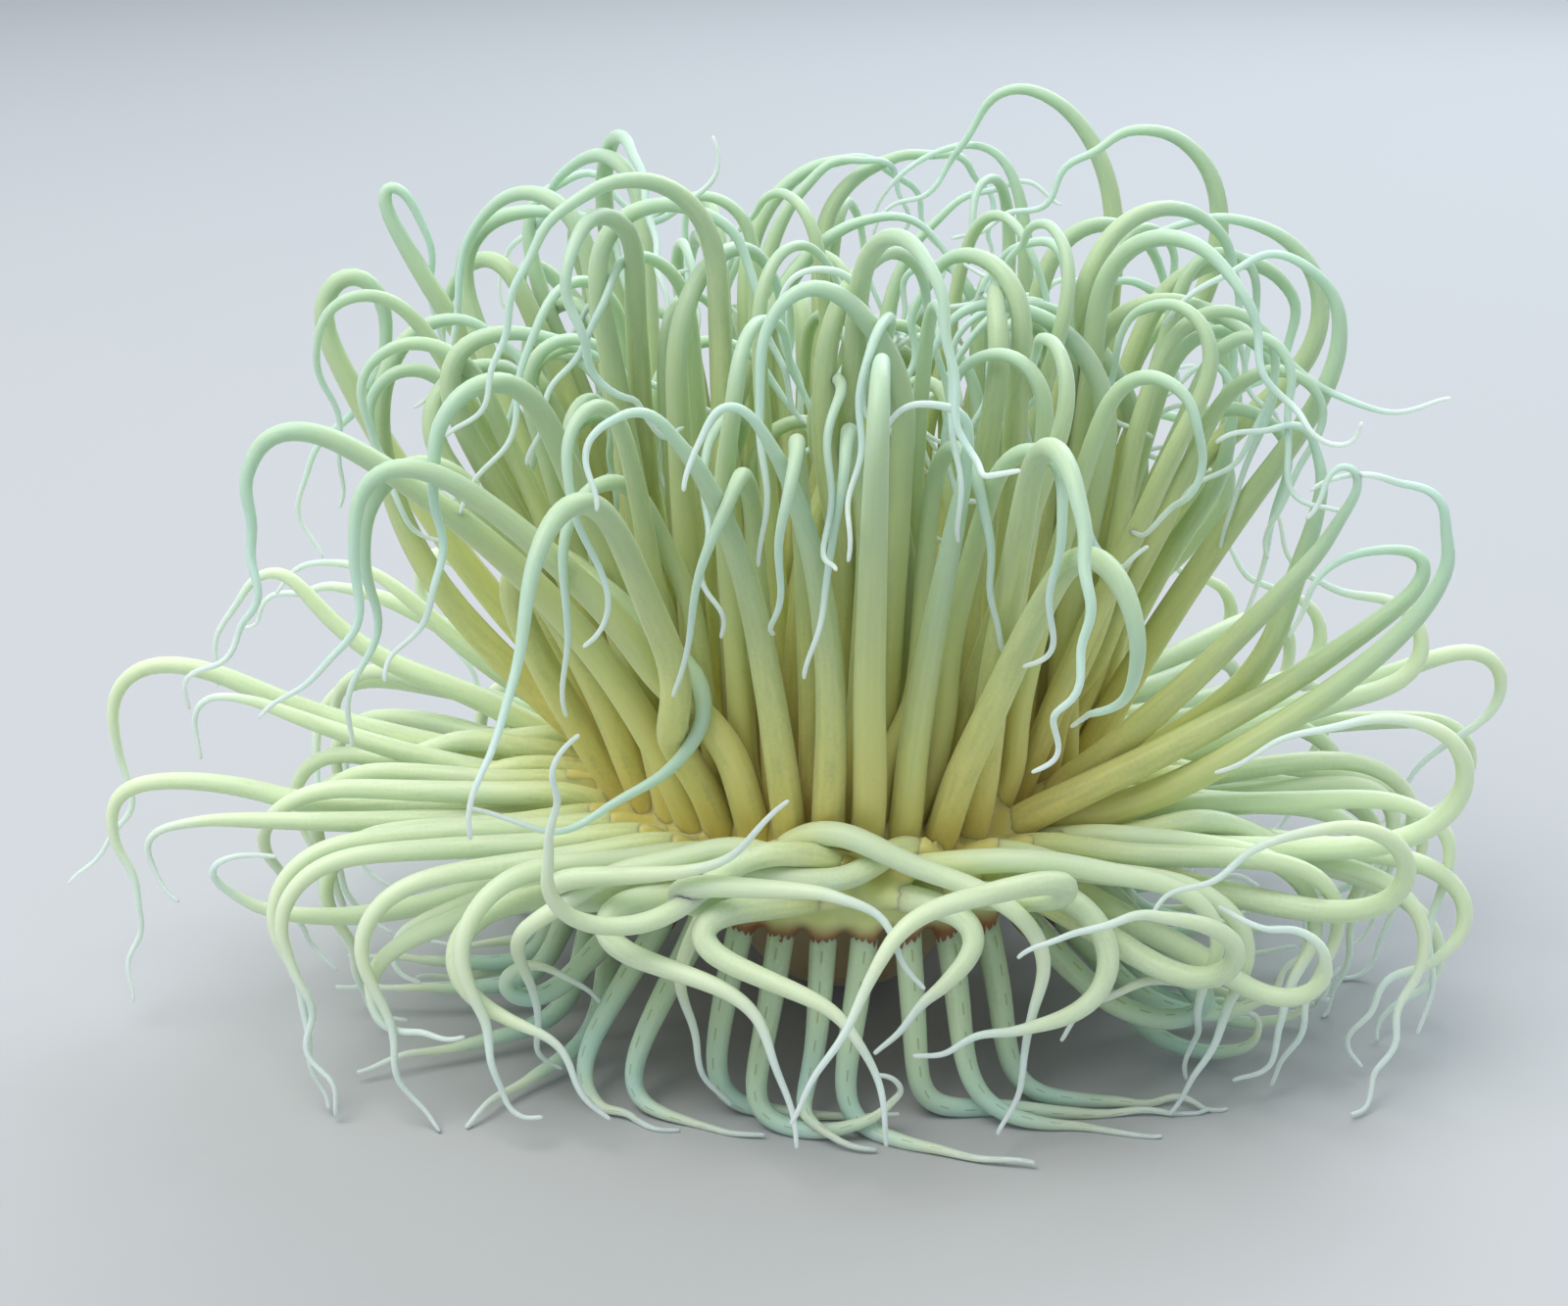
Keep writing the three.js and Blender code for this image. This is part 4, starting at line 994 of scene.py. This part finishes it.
class Paint:
    """A material under construction, and its shader."""

    def __init__(self, name):
        self.material = bpy.data.materials.new(name)
        self.material.use_nodes = True
        self.tree = self.material.node_tree
        self.shader = self.tree.nodes["Principled BSDF"]

    def feed(self, socket, value):
        if isinstance(value, Wire):
            self.tree.links.new(value.socket, socket)
        else:
            socket.default_value = value

    def node(self, kind, settings, inputs, output=0):
        made = self.tree.nodes.new(kind)
        for name, value in settings.items():
            if name == "stops":
                self.set_stops(made.color_ramp, value)
            else:
                setattr(made, name, value)
        for name, value in inputs.items():
            self.feed(made.inputs[name], value)
        return Wire(self, made.outputs[output])

    def set_stops(self, ramp, stops):
        while len(ramp.elements) < len(stops):
            ramp.elements.new(0.5)
        for element, (place, colour) in zip(ramp.elements, stops):
            element.position = place
            element.color = (*colour, 1)

    def attribute(self, name, output="Fac"):
        return self.node("ShaderNodeAttribute", {"attribute_name": name}, {}, output)

    def mix(self, factor, a, b):
        return self.node("ShaderNodeMix", {"data_type": "RGBA"}, {0: factor, 6: a, 7: b}, output=2)

    def ease(self, value, low, high):
        """0 at low, 1 at high, and a smooth step between them."""
        settings = {"interpolation_type": "SMOOTHSTEP"}
        return self.node("ShaderNodeMapRange", settings, {"Value": value, "From Min": low, "From Max": high})

    def stretched(self, vector, by):
        return self.node("ShaderNodeVectorMath", {"operation": "MULTIPLY"}, {0: vector, 1: by})

    def noise(self, place, scale, detail=2.0):
        return self.node("ShaderNodeTexNoise", {}, {"Vector": place, "Scale": scale, "Detail": detail})


print("shader maths ready")

# %% Colours
OCHRE = (0.78, 0.60, 0.18)
GOLD = (0.78, 0.69, 0.25)
CHARTREUSE = (0.66, 0.70, 0.30)
LEAF = (0.53, 0.64, 0.38)
SAGE = (0.48, 0.64, 0.49)
MINT = (0.49, 0.69, 0.61)
FOAM = (0.62, 0.80, 0.71)
LEMON = (0.74, 0.80, 0.38)
CREAM = (0.69, 0.81, 0.58)
SEA = (0.53, 0.66, 0.46)
BUFF = (0.50, 0.38, 0.20)
RUST = (0.30, 0.12, 0.05)
SHADE = (0.22, 0.24, 0.07)


def tall(gold_at):
    """The colours of a tall tentacle from base to tip, with the gold at one share of it."""
    return [(0.0, OCHRE), (gold_at, GOLD), (0.26, CHARTREUSE), (0.5, LEAF), (0.7, SAGE),
            (0.86, MINT), (1.0, FOAM)]


GRADIENTS = {
    "crown": tall(0.08),
    "brush": tall(0.07),
    "spread": [(0.0, GOLD), (0.07, LEMON), (0.25, CREAM), (0.7, CREAM), (0.85, FOAM), (1.0, FOAM)],
    "skirt": [(0.0, CHARTREUSE), (0.05, SEA), (0.3, SEA), (0.55, MINT), (0.8, CREAM), (1.0, FOAM)],
    "labial": [(0.0, OCHRE), (0.3, GOLD), (0.7, LEAF), (1.0, MINT)],
}
print("gradients:", list(GRADIENTS))

# %% Flesh of the tentacles
FLESH = {
    "Roughness": 0.45, "Specular IOR Level": 0.35, "Subsurface Weight": 1.0,
    "Subsurface Scale": 0.0035, "Subsurface Radius": (1.0, 1.0, 0.75),
    "Sheen Weight": 0.2, "Sheen Roughness": 0.35,
}
TONES = 0.16             # how much lighter or darker one tentacle is than the next
STREAKS = {"stretch": (1.6, 1.6, 0.10), "scale": 1.0, "shift": 0.16, "tone": 0.035}
GRAIN = {"stretch": (2.0, 2.0, 0.9), "scale": 1.6, "detail": 3.0, "bump": 0.12, "depth": 0.0003}
# Painted shade on the stalks: how much the streaks and grain count, the range over which it sets in, and how dark it
# gets at the base.
PAINTED_STALK_SHADE = {"streaks": 0.7, "grain": 0.3, "from": 0.42, "to": 0.72, "most": 0.25}
# Dark flecks down the front of the skirt: millimetres apart, then shares.
FLECK = {"every": 5.5, "long": 0.35, "edge": 0.12, "narrow": 0.965, "most": 0.6}


def flesh(cycle):
    paint = Paint(cycle + "_flesh")
    share = paint.attribute("share")
    tone = paint.attribute("tone")
    tube = paint.attribute("tube", "Vector")
    streaks = paint.noise(paint.stretched(tube, STREAKS["stretch"]), STREAKS["scale"])
    grain = paint.noise(paint.stretched(tube, GRAIN["stretch"]), GRAIN["scale"], GRAIN["detail"])
    along_it = share + (streaks - 0.5) * STREAKS["shift"] + tone * STREAKS["tone"]
    colour = paint.node("ShaderNodeValToRGB", {"stops": GRADIENTS[cycle]}, {"Fac": along_it})
    # Painted shade: dark olive streaks mixed into the colour. They are strongest where the tentacle leaves the disc
    # and the stalks stand packed together, and gone at the tip. How much each tentacle gets also changes with its
    # tone.
    shade_mottle = streaks * PAINTED_STALK_SHADE["streaks"] + grain * PAINTED_STALK_SHADE["grain"] - tone * TONES
    darker = paint.ease(shade_mottle, PAINTED_STALK_SHADE["from"], PAINTED_STALK_SHADE["to"])
    colour = paint.mix(darker * PAINTED_STALK_SHADE["most"] * (1 - share), colour, (*SHADE, 1))
    if cycle == "skirt":
        along = paint.node("ShaderNodeSeparateXYZ", {}, {"Vector": tube}, output="Z")
        front = paint.node("ShaderNodeSeparateXYZ", {}, {"Vector": tube}, output="X")
        beat = (along % FLECK["every"]) * (1 / FLECK["every"])
        gap = paint.ease(beat, FLECK["long"], FLECK["long"] + FLECK["edge"])
        flecks = (1 - gap) * paint.ease(front, FLECK["narrow"], 1)
        colour = paint.mix(flecks * FLECK["most"], colour, (*SHADE, 1))
    paint.feed(paint.shader.inputs["Base Color"], colour)
    bump = paint.node("ShaderNodeBump", {},
                      {"Strength": GRAIN["bump"], "Distance": GRAIN["depth"], "Height": grain})
    paint.feed(paint.shader.inputs["Normal"], bump)
    for socket, value in FLESH.items():
        paint.shader.inputs[socket].default_value = value
    return paint


paints = {cycle: flesh(cycle) for cycle in GRADIENTS}
print("flesh:", list(paints))

# %% Flesh of the body
BANDS = [(0.026, 0.034, RUST), (0.0345, 0.0385, LEMON), (0.0455, 0.0500, GOLD)]   # metres up
PATCH = {"scale": 35.0, "detail": 2.0, "height": 0.004}
CLOUD = {"scale": 90.0, "detail": 4.0, "from": 0.45, "to": 0.75, "most": 0.2, "bump": 0.3, "depth": 0.0004}

body_paint = Paint("body_flesh")
place = body_paint.node("ShaderNodeTexCoord", {}, {}, output="Object")
height = body_paint.node("ShaderNodeSeparateXYZ", {}, {"Vector": place}, output="Z")
cloud = body_paint.noise(place, CLOUD["scale"], CLOUD["detail"])
patch = body_paint.noise(place, PATCH["scale"], PATCH["detail"])
wander = height + (patch - 0.5) * PATCH["height"]
colour = (*BUFF, 1)
for low, high, band in BANDS:
    colour = body_paint.mix(body_paint.ease(wander, low, high), colour, (*band, 1))
clouded = body_paint.ease(cloud, CLOUD["from"], CLOUD["to"])
colour = body_paint.mix(clouded * CLOUD["most"], colour, (*SHADE, 1))
body_paint.feed(body_paint.shader.inputs["Base Color"], colour)
bump = body_paint.node("ShaderNodeBump", {},
                       {"Strength": CLOUD["bump"], "Distance": CLOUD["depth"], "Height": cloud})
body_paint.feed(body_paint.shader.inputs["Normal"], bump)
for socket, value in FLESH.items():
    body_paint.shader.inputs[socket].default_value = value
paints["body"] = body_paint
print("body painted")

# %% Dress and mount the pieces, and hide the solids
NODES = {cycle: [n for n in frame["nodes"] if n.startswith(cycle)] for cycle in CYCLES}
NODES["labial"] = ["oral_disc"]
NODES["body"] = [n for n in frame["nodes"] if n.startswith(("oral", "column"))]

for cycle, skin in skins.items():
    skin.data.materials.clear()
    skin.data.materials.append(paints[cycle].material)
    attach(skin, "root")
    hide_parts(*NODES[cycle])
print("pieces:", {skin.name: triangles(skin) for skin in skins.values()})
